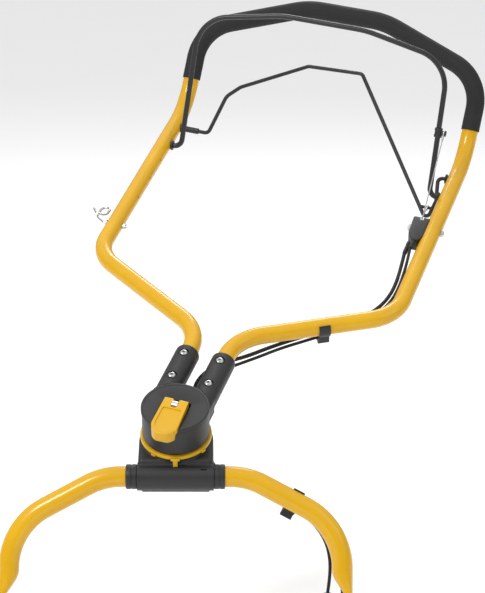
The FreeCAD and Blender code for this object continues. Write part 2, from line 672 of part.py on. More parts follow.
def upper_clip():
    """Clip on the front and underside of the right-hand slanted run."""
    run = (ELBOW_V - SOCKET_V, ELBOW_U - NECK_U, 0)
    v = 134.0
    centre = (v, NECK_U + (v - SOCKET_V) * run[1] / run[0], 0)
    held = [(BRAKE_UPPER[CLIP_POINT], BRAKE_CABLE_R), (DRIVE_UPPER[CLIP_POINT], DRIVE_CABLE_R)]
    return strap_clip(centre, run, UPPER_R, clip_bores(centre, run, held),
                      ((-7, -25.5), (17.5, -7)), (-30, 136))


def lower_clip():
    """Clip round the rear of the right-hand slanted run of the lower handle."""
    run = (LEG_X - CROSS_BEND_X, -LEG_DROP, 0)
    x = 158.0
    centre = (x, (x - CROSS_BEND_X) * run[1] / run[0], 0)
    held = [(BRAKE_LOWER[3], BRAKE_CABLE_R), (DRIVE_LOWER[3], DRIVE_CABLE_R)]
    return strap_clip(centre, run, LOWER_R, clip_bores(centre, run, held),
                      ((-25.5, -30.5), (-7, -12)), (8, 172))


def connector(points, size):
    """Plug-in end fitting at the foot of a lower cable."""
    v, u, w = points[-1]
    head = box((v - size / 2, u - 24, w - size / 2), (v + size / 2, u - 0.4, w + size / 2))
    head = head.makeFillet(1.5, [e for e in head.Edges if e.BoundBox.YLength > 20])
    nose = cyl(size / 2 - 1.8, (v, u - 33, w), (v, u - 24, w))
    return head.fuse(nose)


def rope_guide():
    """Pigtail eye for the starter rope."""
    points = [(-206, GUIDE_U, 0), (-243.5, GUIDE_U, 0), (-257, 369, 2), (-257, 390, 3.5),
              (-242.5, 391, 5.5), (-242.5, 371, 7.5), (-256, 367, 9.5), (-264, 376, 11.0)]
    return rod(points, [3, 8, 7, 6.5, 6.5, 5], 1.9)


def wire_with_eye(pin_r, wire_from, wire_to, across):
    """Inner wire with an eye that turns on a bail's pin."""
    eye = ring(pin_r + 1.9, pin_r + RUN_GAP, (wire_from[0] - across / 2, wire_from[1], wire_from[2]),
               (wire_from[0] + across / 2, wire_from[1], wire_from[2]))
    a, b = Vec(*wire_from), Vec(*wire_to)
    start = a + unit(b - a) * (pin_r + 1.2)
    return eye.fuse(cyl(WIRE_R, tuple(start), tuple(b)))


def bail_point(pivot_u, angle, v, h):
    """A point of a bail's plane in the hub's frame."""
    a = math.radians(angle)
    return (v, pivot_u + h * math.cos(a), h * math.sin(a))


def brake_hook():
    """Moulded clip on the brake bail with the pin for its wire."""
    leg_v = 199 - 3.3 * BRAKE_PIN_H / 204.0
    body = ring(6.0, BRAKE_R + 0.3, (leg_v, BRAKE_PIN_H - 7, 0), (leg_v, BRAKE_PIN_H + 7, 0))
    pin = cyl(BRAKE_PIN_R, (leg_v + 5.0, BRAKE_PIN_H, 0), (208.5, BRAKE_PIN_H, 0))
    head = cyl(4.4, (207.8, BRAKE_PIN_H, 0), (209.4, BRAKE_PIN_H, 0))
    return body.fuse([pin, head])


def export():
    """Write every piece of the assembly."""
    brake_plane = HUB.multiply(in_plane(BRAKE_U, BRAKE_ANGLE))
    drive_plane = HUB.multiply(in_plane(DRIVE_U, DRIVE_ANGLE))
    write("lower_tube", lower_tube(), LEGS)
    write("collar_right", collar(), SADDLE)
    write("collar_left", mirrored(collar()), SADDLE)
    write("saddle", saddle(), SADDLE)
    write("barrel_cap", barrel_cap(), SADDLE)
    write("cap_screws", cap_screws(), SADDLE)
    write("barrel_bush_right", barrel_bush(), SADDLE)
    write("barrel_bush_left", mirrored(barrel_bush()), SADDLE)
    write("index_ring", index_ring(), SWIVEL)
    write("hub_housing", hub_housing(), HUB)
    write("hub_cover", hub_cover(), HUB)
    write("lock_lever", lock_lever(), HUB)
    write("lever_pin", cyl(LEVER_PIN_R, (-14.0, 0, LEVER_PIN_W), (14.0, 0, LEVER_PIN_W)), HUB)
    write("axle_bolt", axle_bolt(), HUB)
    write("disc_springs", disc_springs(), HUB)
    write("axle_washer", ring(12.0, 6.3, (0, 0, -62.4), (0, 0, -64.4)), HUB)
    write("axle_nut", nut(19, AXLE_R + SEAT_GAP, (0, 0, -64.5), (0, 0, -72)), HUB)
    write("detent_ball", Part.makeSphere(BALL_R, Vec(0, DETENT_R, BALL_W)), HUB)
    write("detent_spring", detent_spring(), HUB)
    write("upper_tube", upper_tube(), HUB)
    write("grip_sleeve", grip_sleeve(), HUB)
    write("socket_screws", Part.makeCompound([
        screw(2.9, 5.5, 3.4, (v, u, 14.65), (v, u, -18.5))
        for v in (-SOCKET_V, SOCKET_V) for u in SCREW_U]), HUB)
    write("socket_nuts", Part.makeCompound([
        nut(10, 2.95, (v, u, -14.05), (v, u, -18.0))
        for v in (-SOCKET_V, SOCKET_V) for u in SCREW_U]), HUB)
    write("brake_bail", brake_bail(), brake_plane)
    write("brake_hook", brake_hook(), brake_plane)
    write("drive_bail", drive_bail(), drive_plane)
    for side, name in ((-1, "left"), (1, "right")):
        write("brake_bush_" + name, bail_bush(side, BRAKE_U, BRAKE_R), HUB)
        write("drive_bush_" + name, bail_bush(side, DRIVE_U, DRIVE_R), HUB)
    spacer_v = -(arm_v(DRIVE_U) - UPPER_R - 3.2)
    write("drive_spacer", ring(4.6, DRIVE_R + 0.1, (spacer_v, DRIVE_U, 0),
                               (spacer_v + 25, DRIVE_U, 0)), HUB)
    write("cable_bracket", cable_bracket(), HUB)
    write("bracket_bolt", screw(2.9, 5.0, 4.0, (arm_v(BRACKET_U) + UPPER_R + 0.1, BRACKET_U, 0),
                                (188.5, BRACKET_U, 0)), HUB)
    write("bracket_nut", nut(10, 2.95, (193.4, BRACKET_U, 0), (189.4, BRACKET_U, 0)), HUB)
    for name, bore in zip(("brake", "drive"), BRACKET_BORES):
        write(name + "_ferrule", ferrule(bore), HUB)
    write("rope_guide", rope_guide(), HUB)
    inner, outer = arm_v(GUIDE_U) - UPPER_R, arm_v(GUIDE_U) + UPPER_R
    write("guide_nuts", Part.makeCompound([
        nut(8, 1.95, (-(inner - 0.2), GUIDE_U, 0), (-(inner - 4.2), GUIDE_U, 0)),
        ring(4.5, 1.95, (-(outer + 0.2), GUIDE_U, 0), (-(outer + 1.4), GUIDE_U, 0))]), HUB)
    write("upper_clip", upper_clip(), HUB)
    write("lower_clip", lower_clip(), LEGS)
    brake_pin = bail_point(BRAKE_U, BRAKE_ANGLE, BRACKET_BORES[0][0], BRAKE_PIN_H)
    write("brake_wire", wire_with_eye(BRAKE_PIN_R, brake_pin, (206.2, WIRE_END_U, 5.5), 2.4), HUB)
    drive_pin = bail_point(DRIVE_U, DRIVE_ANGLE, 198.2, DRIVE_PIN_H)
    write("drive_wire", wire_with_eye(DRIVE_PIN_R, drive_pin, (198.2, WIRE_END_U, -6.5), 2.4), HUB)
    for name, upper, loop, lower, r, size in (
            ("brake", BRAKE_UPPER, BRAKE_LOOP, BRAKE_LOWER, BRAKE_CABLE_R, 10.5),
            ("drive", DRIVE_UPPER, DRIVE_LOOP, DRIVE_LOWER, DRIVE_CABLE_R, 9.5)):
        write(name + "_cable_upper", cable(name + " upper", upper, r), HUB)
        write(name + "_cable_loop", cable(name + " loop", loop_points(upper, loop), r), SADDLE)
        write(name + "_cable_lower", cable(name + " lower", lower_points(loop, lower), r), LEGS)
        write(name + "_connector", connector(lower, size), LEGS)
    print("hub origin", [round(c, 1) for c in HUB_ORIGIN])


os.makedirs("parts", exist_ok=True)
export()
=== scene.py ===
"""Looks of a folding, swivelling machine handlebar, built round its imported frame."""
import json
import logging
import math
from dataclasses import dataclass, field
from enum import Enum
from typing import Optional, Sequence, Union

import bpy
from mathutils import Matrix, Vector


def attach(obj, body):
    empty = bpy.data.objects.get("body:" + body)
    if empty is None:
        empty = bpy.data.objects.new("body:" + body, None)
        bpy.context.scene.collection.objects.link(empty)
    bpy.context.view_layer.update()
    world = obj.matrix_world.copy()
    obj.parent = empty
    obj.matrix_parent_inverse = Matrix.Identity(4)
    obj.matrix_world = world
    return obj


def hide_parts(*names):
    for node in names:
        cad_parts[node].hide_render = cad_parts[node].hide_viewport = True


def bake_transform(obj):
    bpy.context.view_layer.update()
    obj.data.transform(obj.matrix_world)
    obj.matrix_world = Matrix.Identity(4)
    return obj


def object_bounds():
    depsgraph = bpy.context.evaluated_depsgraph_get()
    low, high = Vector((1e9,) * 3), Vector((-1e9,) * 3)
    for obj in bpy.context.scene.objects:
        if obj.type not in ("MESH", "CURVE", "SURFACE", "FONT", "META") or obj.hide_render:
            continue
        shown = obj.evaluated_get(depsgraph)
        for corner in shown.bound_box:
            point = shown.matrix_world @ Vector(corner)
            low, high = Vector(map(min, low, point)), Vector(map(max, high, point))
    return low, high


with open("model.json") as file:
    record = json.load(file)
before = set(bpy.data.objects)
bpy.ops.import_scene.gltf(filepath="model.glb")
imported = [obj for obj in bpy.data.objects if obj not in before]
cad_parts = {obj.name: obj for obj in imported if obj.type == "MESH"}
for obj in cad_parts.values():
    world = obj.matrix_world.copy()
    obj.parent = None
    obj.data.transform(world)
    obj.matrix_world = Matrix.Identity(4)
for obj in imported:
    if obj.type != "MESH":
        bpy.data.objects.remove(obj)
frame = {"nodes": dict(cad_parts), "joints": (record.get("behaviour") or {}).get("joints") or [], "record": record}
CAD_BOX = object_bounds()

LOG = logging.getLogger("handlebar")
Point = Sequence[float]
MM = 0.001

# driving sizes, in millimetres
UPPER_TUBE = 12.5          # radius
LOWER_TUBE = 14.0
BRAKE_SHEATH = 2.25
DRIVE_SHEATH = 2.75
BRAKE_PIVOT = 578.0        # station along the handle
DRIVE_PIVOT = 626.0
BRAKE_BORE = (206.2, 5.5)  # place across and up
DRIVE_BORE = (198.2, -6.5)


# ---------------------------------------------------------------- names of bodies and finishes

class Body(Enum):
    """The bodies that pieces ride on."""

    LOWER = "lower_handle"
    SADDLE = "swivel_saddle"
    UPPER = "upper_handle"
    LEVER = "lever"
    BRAKE = "brake_lever"
    DRIVE = "drive_lever"
    BRAKE_PULL = "brake_pull"
    DRIVE_PULL = "drive_pull"


class Slot(Enum):
    """The record's material slots."""

    YELLOW_PAINT = "yellow_paint"
    YELLOW_PLASTIC = "yellow_plastic"
    BLACK_PLASTIC = "black_plastic"
    BLACK_WIRE = "black_wire"
    GRIP_FOAM = "grip_foam"
    CABLE_JACKET = "cable_jacket"
    ZINC_STEEL = "zinc_steel"
    CHROME_SCREW = "chrome_screw"
    BARE_CABLE = "bare_cable"


class Grain(Enum):
    """What a finish's relief is made of."""

    PEEL = "peel"
    SPARK = "spark"
    PORES = "pores"
    DRAWN = "drawn"


# ---------------------------------------------------------------- shader maths

class Wire:
    """One output socket, or a plain number, that takes part in shader maths."""

    def __init__(self, graph: "Graph", socket: bpy.types.NodeSocket) -> None:
        """Keep the socket with the graph that it belongs to."""
        self.graph = graph
        self.socket = socket

    def _maths(self, operation: str, first: "Term", second: "Term") -> "Wire":
        """Add one Math node and return its value."""
        return self.graph.node("ShaderNodeMath", {"operation": operation}, {0: first, 1: second})

    def __add__(self, other: "Term") -> "Wire":
        """Sum."""
        return self._maths("ADD", self, other)

    def __radd__(self, other: "Term") -> "Wire":
        """Reflected sum."""
        return self._maths("ADD", other, self)

    def __sub__(self, other: "Term") -> "Wire":
        """Difference."""
        return self._maths("SUBTRACT", self, other)

    def __rsub__(self, other: "Term") -> "Wire":
        """Reflected difference."""
        return self._maths("SUBTRACT", other, self)

    def __mul__(self, other: "Term") -> "Wire":
        """Product."""
        return self._maths("MULTIPLY", self, other)

    def __rmul__(self, other: "Term") -> "Wire":
        """Reflected product."""
        return self._maths("MULTIPLY", other, self)

    def __pow__(self, other: "Term") -> "Wire":
        """Power."""
        return self._maths("POWER", self, other)


Term = Union[Wire, float, Sequence[float]]


class Graph:
    """A material's node tree while it is being built."""

    def __init__(self, material: bpy.types.Material) -> None:
        """Start from an empty tree with one output and one shader.

        Args:
            material: The material that gets the tree.
        """
        material.use_nodes = True
        self.tree = material.node_tree
        self.tree.nodes.clear()
        self.output = self.tree.nodes.new("ShaderNodeOutputMaterial")
        self.shader = self.tree.nodes.new("ShaderNodeBsdfPrincipled")
        self.tree.links.new(self.shader.outputs[0], self.output.inputs["Surface"])

    def feed(self, target: bpy.types.NodeSocket, value: Term) -> None:
        """Link a wire to a socket, or set the socket to a constant.

        Args:
            target: The input socket.
            value: The wire or the constant.
        """
        if isinstance(value, Wire):
            self.tree.links.new(value.socket, target)
        else:
            target.default_value = value

    def node(self, kind: str, settings: dict, inputs: dict, out: Union[int, str] = 0) -> Wire:
        """Add a node.

        Args:
            kind: The node's type.
            settings: Properties set first; "stops" fills a colour ramp.
            inputs: Values or wires by input index or name.
            out: The output that is wanted.

        Returns:
            The wanted output as a wire.
        """
        made = self.tree.nodes.new(kind)
        for name, value in settings.items():
            if name == "stops":
                self._ramp(made.color_ramp, value)
            else:
                setattr(made, name, value)
        for name, value in inputs.items():
            self.feed(made.inputs[name], value)
        return Wire(self, made.outputs[out])

    @staticmethod
    def _ramp(ramp: bpy.types.ColorRamp, stops: Sequence[tuple[float, Point]]) -> None:
        """Set a ramp's stops.

        Args:
            ramp: The colour ramp.
            stops: Place and colour of each stop, the first two being the ends.
        """
        for element, (place, colour) in zip(ramp.elements, stops):
            element.position, element.color = place, (*colour, 1.0)
        for place, colour in stops[2:]:
            ramp.elements.new(place).color = (*colour, 1.0)

    def where(self, stretch: Point = (1.0, 1.0, 1.0)) -> Wire:
        """The point on the piece, in metres, stretched along the axes."""
        place = self.node("ShaderNodeTexCoord", {}, {}, "Object")
        return self.node("ShaderNodeMapping", {}, {"Vector": place, "Scale": stretch})

    def noise(self, place: Wire, scale: float, detail: float = 3.0, rough: float = 0.5) -> Wire:
        """Smooth noise from 0 to 1."""
        return self.node("ShaderNodeTexNoise", {}, {"Vector": place, "Scale": scale,
                                                    "Detail": detail, "Roughness": rough})

    def cells(self, place: Wire, scale: float) -> Wire:
        """Distance to the nearest of many scattered cells."""
        return self.node("ShaderNodeTexVoronoi", {}, {"Vector": place, "Scale": scale})

    def ramp(self, value: Wire, low: float, high: float) -> Wire:
        """Stretch the part of a value between two limits to 0..1."""
        return self.node("ShaderNodeMapRange", {"clamp": True},
                         {"Value": value, "From Min": low, "From Max": high})

    def mix(self, factor: Term, first: Term, second: Term) -> Wire:
        """Blend two colours."""
        return self.node("ShaderNodeMix", {"data_type": "RGBA"},
                         {"Factor": factor, 6: first, 7: second}, 2)

    def bump(self, height: Wire, distance: float, strength: float,
             below: Optional[Wire] = None) -> Wire:
        """Relief of a given depth, in metres, on top of another.

        Args:
            height: Height from 0 to 1.
            distance: The height of 1, in metres.
            strength: Share of the relief that shows.
            below: The relief that this one lies on.

        Returns:
            The bent normal.
        """
        inputs = {"Height": height, "Distance": distance, "Strength": strength}
        if below is not None:
            inputs["Normal"] = below
        return self.node("ShaderNodeBump", {}, inputs)


# ---------------------------------------------------------------- finishes

@dataclass(frozen=True)
class Finish:
    """How one kind of surface looks."""

    colour: Point
    shade: Point
    roughness: tuple[float, float]
    grain: Grain
    grain_scale: float
    grain_depth: float
    metallic: float = 0.0
    coat: float = 0.0
    coat_roughness: float = 0.1
    specular: float = 0.5
    patch_scale: float = 18.0

    def _relief(self, graph: Graph) -> Wire:
        """The small relief of the surface as a normal.

        Args:
            graph: The material's graph.

        Returns:
            The normal, for the shader.
        """
        if self.grain is Grain.DRAWN:
            lines = graph.noise(graph.where((1.0, 0.06, 1.0)), self.grain_scale, 2.0)
            return graph.bump(lines, self.grain_depth, 0.5)
        place = graph.where()
        if self.grain is Grain.PEEL:
            wave = graph.noise(place, self.grain_scale, 1.0)
            fine = graph.noise(place, self.grain_scale * 6.0, 1.0)
            return graph.bump(wave + fine * 0.25, self.grain_depth, 0.45)
        if self.grain is Grain.SPARK:
            pits = graph.cells(place, self.grain_scale)
            fine = graph.noise(place, self.grain_scale * 0.6, 2.0)
            return graph.bump(pits * 0.7 + fine * 0.5, self.grain_depth, 0.6)
        pores = graph.ramp(graph.cells(place, self.grain_scale), 0.0, 0.45)
        large = graph.noise(place, self.grain_scale * 0.18, 2.0)
        return graph.bump(pores, self.grain_depth, 0.7, graph.bump(large, self.grain_depth * 2, 0.35))

    def build(self, name: str) -> bpy.types.Material:
        """Make the material.

        Args:
            name: The material's name.

        Returns:
            The finished material.
        """
        material = bpy.data.materials.new(name)
        graph = Graph(material)
        place = graph.where()
        patches = graph.ramp(graph.noise(place, self.patch_scale, 4.0, 0.55), 0.3, 0.7)
        specks = graph.ramp(graph.noise(place, self.patch_scale * 30.0, 2.0), 0.35, 0.65)
        blend = patches * 0.75 + specks * 0.25
        low, high = self.roughness
        shader = graph.shader.inputs
        graph.feed(shader["Base Color"], graph.mix(blend, (*self.shade, 1.0), (*self.colour, 1.0)))
        graph.feed(shader["Roughness"], patches * (high - low) * 0.6 + specks * (high - low) * 0.4 + low)
        graph.feed(shader["Metallic"], self.metallic)
        graph.feed(shader["Coat Weight"], self.coat)
        graph.feed(shader["Coat Roughness"], self.coat_roughness)
        graph.feed(shader["Specular IOR Level"], self.specular)
        graph.feed(shader["Normal"], self._relief(graph))
        return material


FINISHES = {
    Slot.YELLOW_PAINT: Finish((0.69, 0.385, 0.002), (0.63, 0.34, 0.002), (0.20, 0.27), Grain.PEEL,
                              420.0, 0.00010, coat=0.25, coat_roughness=0.08, specular=0.32),
    Slot.YELLOW_PLASTIC: Finish((0.68, 0.385, 0.006), (0.62, 0.34, 0.004), (0.32, 0.42), Grain.SPARK,
                                2600.0, 0.00004, specular=0.4),
    Slot.BLACK_PLASTIC: Finish((0.021, 0.021, 0.022), (0.015, 0.015, 0.016), (0.40, 0.52), Grain.SPARK,
                               1900.0, 0.00007, specular=0.42),
    Slot.BLACK_WIRE: Finish((0.017, 0.017, 0.018), (0.012, 0.012, 0.013), (0.34, 0.46), Grain.PEEL,
                            900.0, 0.00008, coat=0.1, coat_roughness=0.3, specular=0.42),
    Slot.GRIP_FOAM: Finish((0.022, 0.022, 0.024), (0.016, 0.016, 0.017), (0.66, 0.8), Grain.PORES,
                           1500.0, 0.00014, specular=0.28),
    Slot.CABLE_JACKET: Finish((0.014, 0.014, 0.015), (0.010, 0.010, 0.011), (0.4, 0.52), Grain.PEEL,
                              1500.0, 0.00006, specular=0.36),
    Slot.ZINC_STEEL: Finish((0.60, 0.59, 0.57), (0.48, 0.48, 0.47), (0.24, 0.4), Grain.PEEL,
                            1600.0, 0.00003, metallic=1.0, patch_scale=90.0),
    Slot.CHROME_SCREW: Finish((0.56, 0.56, 0.58), (0.44, 0.44, 0.46), (0.08, 0.16), Grain.PEEL,
                              800.0, 0.00002, metallic=1.0, patch_scale=90.0),
    Slot.BARE_CABLE: Finish((0.50, 0.50, 0.51), (0.36, 0.36, 0.37), (0.3, 0.42), Grain.DRAWN,
                            3000.0, 0.00003, metallic=1.0, patch_scale=120.0),
}


class Palette:
    """Builds each finish once and dresses pieces in it."""

    def __init__(self) -> None:
        """Make every material."""
        self.made = {slot: finish.build(slot.value) for slot, finish in FINISHES.items()}

    def dress(self, piece: bpy.types.Object, slot: Slot) -> None:
        """Give a piece one finish and name its slot.

        Args:
            piece: The piece.
            slot: Its finish.
        """
        piece.data.materials.clear()
        piece.data.materials.append(self.made[slot])

    def dress_frame(self) -> None:
        """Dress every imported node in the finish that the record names."""
        for row in frame["record"]["subparts"]:
            self.dress(frame["nodes"][row["node"]], Slot(row["material_slot"]))


# ---------------------------------------------------------------- places

@dataclass(frozen=True)
class Place:
    """A local frame of the object: where its origin is and which way its axes point."""

    origin: Vector
    across: Vector
    along: Vector
    up: Vector

    @property
    def matrix(self) -> Matrix:
        """Carries local metres into the object's frame.

        Returns:
            The matrix.
        """
        return Matrix((
            (self.across.x, self.along.x, self.up.x, self.origin.x),
            (self.across.y, self.along.y, self.up.y, self.origin.y),
            (self.across.z, self.along.z, self.up.z, self.origin.z),
            (0.0, 0.0, 0.0, 1.0)))

    def at(self, point: Point) -> Vector:
        """A point given in local millimetres, in the object's frame."""
        return self.matrix @ (Vector(point) * MM)

    def turned(self, origin: Point, degrees: float) -> "Place":
        """The frame of a bail: tilted up about an axis across the handle."""
        turn = Matrix.Rotation(math.radians(degrees), 3, self.across)
        return Place(self.at(origin), self.across, turn @ self.along, turn @ self.up)


def places() -> tuple[Place, Place, Place]:
    """Work the local frames out from the joints.

    Returns:
        The hub's frame, the saddle's frame and the legs' frame.
    """
    joints = {j["name"]: j for j in frame["joints"]}
    up = Vector(joints["handle_swivel"]["axis"]).normalized()
    across = -Vector(joints["lock_lever_lift"]["axis"]).normalized()
    x = Vector((1.0, 0.0, 0.0))
    cross = Vector(joints["handle_fold"]["pos_m"])
    rise = cross.normalized()
    hub = Place(Vector(joints["handle_swivel"]["pos_m"]), across, up.cross(across), up)
    return hub, Place(cross, x, up.cross(x), up), Place(cross, x, rise, x.cross(rise))


# ---------------------------------------------------------------- modelling steps

class Bench:
    """Modelling steps in one local frame, worked with operators on the active piece."""

    def __init__(self, place: Place, palette: Palette) -> None:
        """Work in the given frame."""
        self.place = place
        self.palette = palette

    @staticmethod
    def pick(piece: bpy.types.Object) -> bpy.types.Object:
        """Select one piece alone and make it active.

        Args:
            piece: The piece.

        Returns:
            The same piece.
        """
        bpy.ops.object.select_all(action="DESELECT")
        piece.select_set(True)
        bpy.context.view_layer.objects.active = piece
        return piece

    @staticmethod
    def fresh() -> bpy.types.Object:
        """The piece that an operator has just added."""
        return bpy.context.view_layer.objects.active

    def cylinder(self, start: Point, end: Point, radius: float, sides: int = 96,
                 end_radius: Optional[float] = None) -> bpy.types.Object:
        """Add a round bar or cone between two local points, in millimetres.

        Args:
            start: Centre of the first end.
            end: Centre of the second end.
            radius: Radius at the first end.
            sides: Sides round it.
            end_radius: Radius at the second end, where it differs.

        Returns:
            The new piece.
        """
        a, b = Vector(start) * MM, Vector(end) * MM
        bpy.ops.object.select_all(action="DESELECT")
        tip = radius if end_radius is None else end_radius
        bpy.ops.mesh.primitive_cone_add(vertices=sides, radius1=radius * MM, radius2=tip * MM,
                                        depth=(b - a).length, location=(a + b) / 2,
                                        rotation=(b - a).to_track_quat("Z", "Y").to_euler())
        bpy.ops.object.transform_apply()
        return self.fresh()

    def block(self, low: Point, high: Point) -> bpy.types.Object:
        """Add a block between two local corners, in millimetres.

        Args:
            low: The corner with the least coordinates.
            high: The opposite corner.

        Returns:
            The new piece.
        """
        a, b = Vector(low) * MM, Vector(high) * MM
        bpy.ops.object.select_all(action="DESELECT")
        bpy.ops.mesh.primitive_cube_add(size=1.0, location=(a + b) / 2, scale=b - a)
        bpy.ops.object.transform_apply()
        return self.fresh()

    def slab(self, outline: Sequence[tuple[float, float]], low: float, high: float) -> bpy.types.Object:
        """Extrude an outline in the local across-along plane from one height to another.

        Args:
            outline: Corners, in millimetres.
            low: The lower height.
            high: The upper height.

        Returns:
            The new piece.
        """
        bpy.ops.object.select_all(action="DESELECT")
        bpy.ops.mesh.primitive_circle_add(vertices=len(outline), radius=MM, fill_type="NGON")
        piece = self.fresh()
        for vertex, (v, u) in zip(piece.data.vertices, outline):
            vertex.co = Vector((v, u, low)) * MM
        bpy.ops.object.mode_set(mode="EDIT")
        bpy.ops.mesh.select_all(action="SELECT")
        bpy.ops.mesh.extrude_region_move(TRANSFORM_OT_translate={"value": (0, 0, (high - low) * MM)})
        bpy.ops.mesh.select_all(action="SELECT")
        bpy.ops.mesh.normals_make_consistent(inside=False)
        bpy.ops.object.mode_set(mode="OBJECT")
        return piece

    def modify(self, piece: bpy.types.Object, kind: str, **settings: object) -> None:
        """Add one modifier and apply it.

        Args:
            piece: The piece.
            kind: The modifier's type.
            settings: Its properties.
        """
        self.pick(piece)
        modifier = piece.modifiers.new(kind.lower(), kind)
        for name, value in settings.items():
            setattr(modifier, name, value)
        bpy.ops.object.modifier_apply(modifier=modifier.name)

    def _combine(self, piece: bpy.types.Object, tool: bpy.types.Object, operation: str) -> None:
        """Combine a piece with a tool, which is used up."""
        self.modify(piece, "BOOLEAN", object=tool, operation=operation, solver="EXACT")
        bpy.data.objects.remove(tool)

    def add(self, piece: bpy.types.Object, *tools: bpy.types.Object) -> None:
        """Join solids to a piece."""
        for tool in tools:
            self._combine(piece, tool, "UNION")

    def cut(self, piece: bpy.types.Object, *tools: bpy.types.Object) -> None:
        """Take solids out of a piece."""
        for tool in tools:
            self._combine(piece, tool, "DIFFERENCE")

    def keep(self, piece: bpy.types.Object, tool: bpy.types.Object) -> None:
        """Keep only what a piece shares with a solid."""
        self._combine(piece, tool, "INTERSECT")

    def round_edges(self, piece: bpy.types.Object, width: float, steps: int = 3, angle: float = 35.0) -> None:
        """Round every sharp edge by a width in millimetres."""
        self.modify(piece, "BEVEL", width=width * MM, segments=steps, limit_method="ANGLE",
                    angle_limit=math.radians(angle), use_clamp_overlap=True)

    def cast(self, piece: bpy.types.Object, voxel: float, passes: int) -> None:
        """Turn joined solids into one moulding with soft inner and outer corners."""
        self.modify(piece, "REMESH", mode="VOXEL", voxel_size=voxel * MM, adaptivity=0.0)
        self.modify(piece, "SMOOTH", factor=0.5, iterations=passes)

    def bar(self, points: Sequence[Point], radius: float, sides: int = 10) -> bpy.types.Object:
        """Sweep a round bar along points given in local millimetres.

        Args:
            points: The centre line.
            radius: The bar's radius.
            sides: How finely it is rounded.

        Returns:
            The new piece.
        """
        curve = bpy.data.curves.new("bar", "CURVE")
        curve.dimensions, curve.bevel_depth, curve.bevel_resolution = "3D", radius * MM, sides
        curve.use_fill_caps = True
        spline = curve.splines.new("POLY")
        spline.points.add(len(points) - 1)
        for target, source in zip(spline.points, points):
            target.co = (*(Vector(source) * MM), 1.0)
        piece = bpy.data.objects.new("bar", curve)
        bpy.context.scene.collection.objects.link(piece)
        self.pick(piece)
        bpy.ops.object.convert(target="MESH")
        return self.fresh()

    def rib(self, outline: Sequence[tuple[float, float]], low: float, high: float) -> bpy.types.Object:
        """Extrude an outline in the local along-up plane from one place across to another.

        Args:
            outline: Corners, in millimetres.
            low: The near place across.
            high: The far place across.

        Returns:
            The new piece.
        """
        piece = self.pick(self.slab(outline, low, high))
        piece.matrix_world = Matrix(((0, 0, 1, 0), (1, 0, 0, 0), (0, 1, 0, 0), (0, 0, 0, 1)))
        bpy.ops.object.transform_apply()
        return piece

    def lathe(self, profile: Sequence[tuple[float, float]], base: Point, way: Point,
              sides: int = 72) -> bpy.types.Object:
        """Spin a closed outline into a turned piece.

        Args:
            profile: Radius and height of each corner, in millimetres.
            base: The local point where the height is zero.
            way: The direction of the axis.
            sides: Steps round the axis.

        Returns:
            The turned piece.
        """
        bpy.ops.object.select_all(action="DESELECT")
        bpy.ops.mesh.primitive_circle_add(vertices=len(profile), radius=MM, fill_type="NOTHING")
        piece = self.fresh()
        for vertex, (radius, height) in zip(piece.data.vertices, profile):
            vertex.co = Vector((radius, 0.0, height)) * MM
        self.modify(piece, "SCREW", steps=sides, render_steps=sides, use_merge_vertices=True,
                    merge_threshold=1e-6)
        bpy.ops.object.mode_set(mode="EDIT")
        bpy.ops.mesh.select_all(action="SELECT")
        bpy.ops.mesh.remove_doubles(threshold=1e-6)
        bpy.ops.mesh.dissolve_degenerate()
        bpy.ops.mesh.select_all(action="SELECT")
        bpy.ops.mesh.normals_make_consistent(inside=False)
        bpy.ops.object.mode_set(mode="OBJECT")
        turn = Vector(way).to_track_quat("Z", "Y").to_matrix().to_4x4()
        piece.matrix_world = Matrix.Translation(Vector(base) * MM) @ turn
        bpy.ops.object.transform_apply()
        return piece

    def group(self, *pieces: bpy.types.Object) -> bpy.types.Object:
        """Put pieces that don't touch into one object.

        Args:
            pieces: The pieces, of which the first one stays.

        Returns:
            The joined object.
        """
        self.pick(pieces[0])
        for piece in pieces:
            piece.select_set(True)
        bpy.ops.object.join()
        return self.fresh()

    def tilt(self, piece: bpy.types.Object, pivot: Point, degrees: float) -> bpy.types.Object:
        """Turn a piece about the local across axis through a point.

        Args:
            piece: The piece.
            pivot: The point, in millimetres.
            degrees: How far it turns.

        Returns:
            The same piece.
        """
        self.pick(piece)
        point = Vector(pivot) * MM
        piece.matrix_world = (Matrix.Translation(point) @ Matrix.Rotation(math.radians(degrees), 4, "X")
                              @ Matrix.Translation(-point))
        bpy.ops.object.transform_apply()
        return piece

    def screw(self, head: Point, tip: Point, shank: float, crown: float, rise: float) -> bpy.types.Object:
        """A button-head screw with a hexagon recess.

        Args:
            head: Where the underside of the head sits.
            tip: The end of the shank.
            shank: The shank's radius.
            crown: The head's radius.
            rise: The head's height.

        Returns:
            The screw.
        """
        out = (Vector(head) - Vector(tip)).normalized()
        length = (Vector(head) - Vector(tip)).length
        profile = [(0, -length), (shank * 0.75, -length), (shank, -length + 0.9), (shank, 0),
                   (crown - 0.3, 0), (crown, 0.35), (crown * 0.985, rise * 0.4), (crown * 0.9, rise * 0.68),
                   (crown * 0.76, rise * 0.88), (crown * 0.62, rise), (0, rise)]
        piece = self.lathe(profile, head, out, 48)
        top = Vector(head) + out * (rise + 1)
        self.cut(piece, self.cylinder(Vector(head) + out * (rise * 0.4), top, crown * 0.44, 6))
        return piece

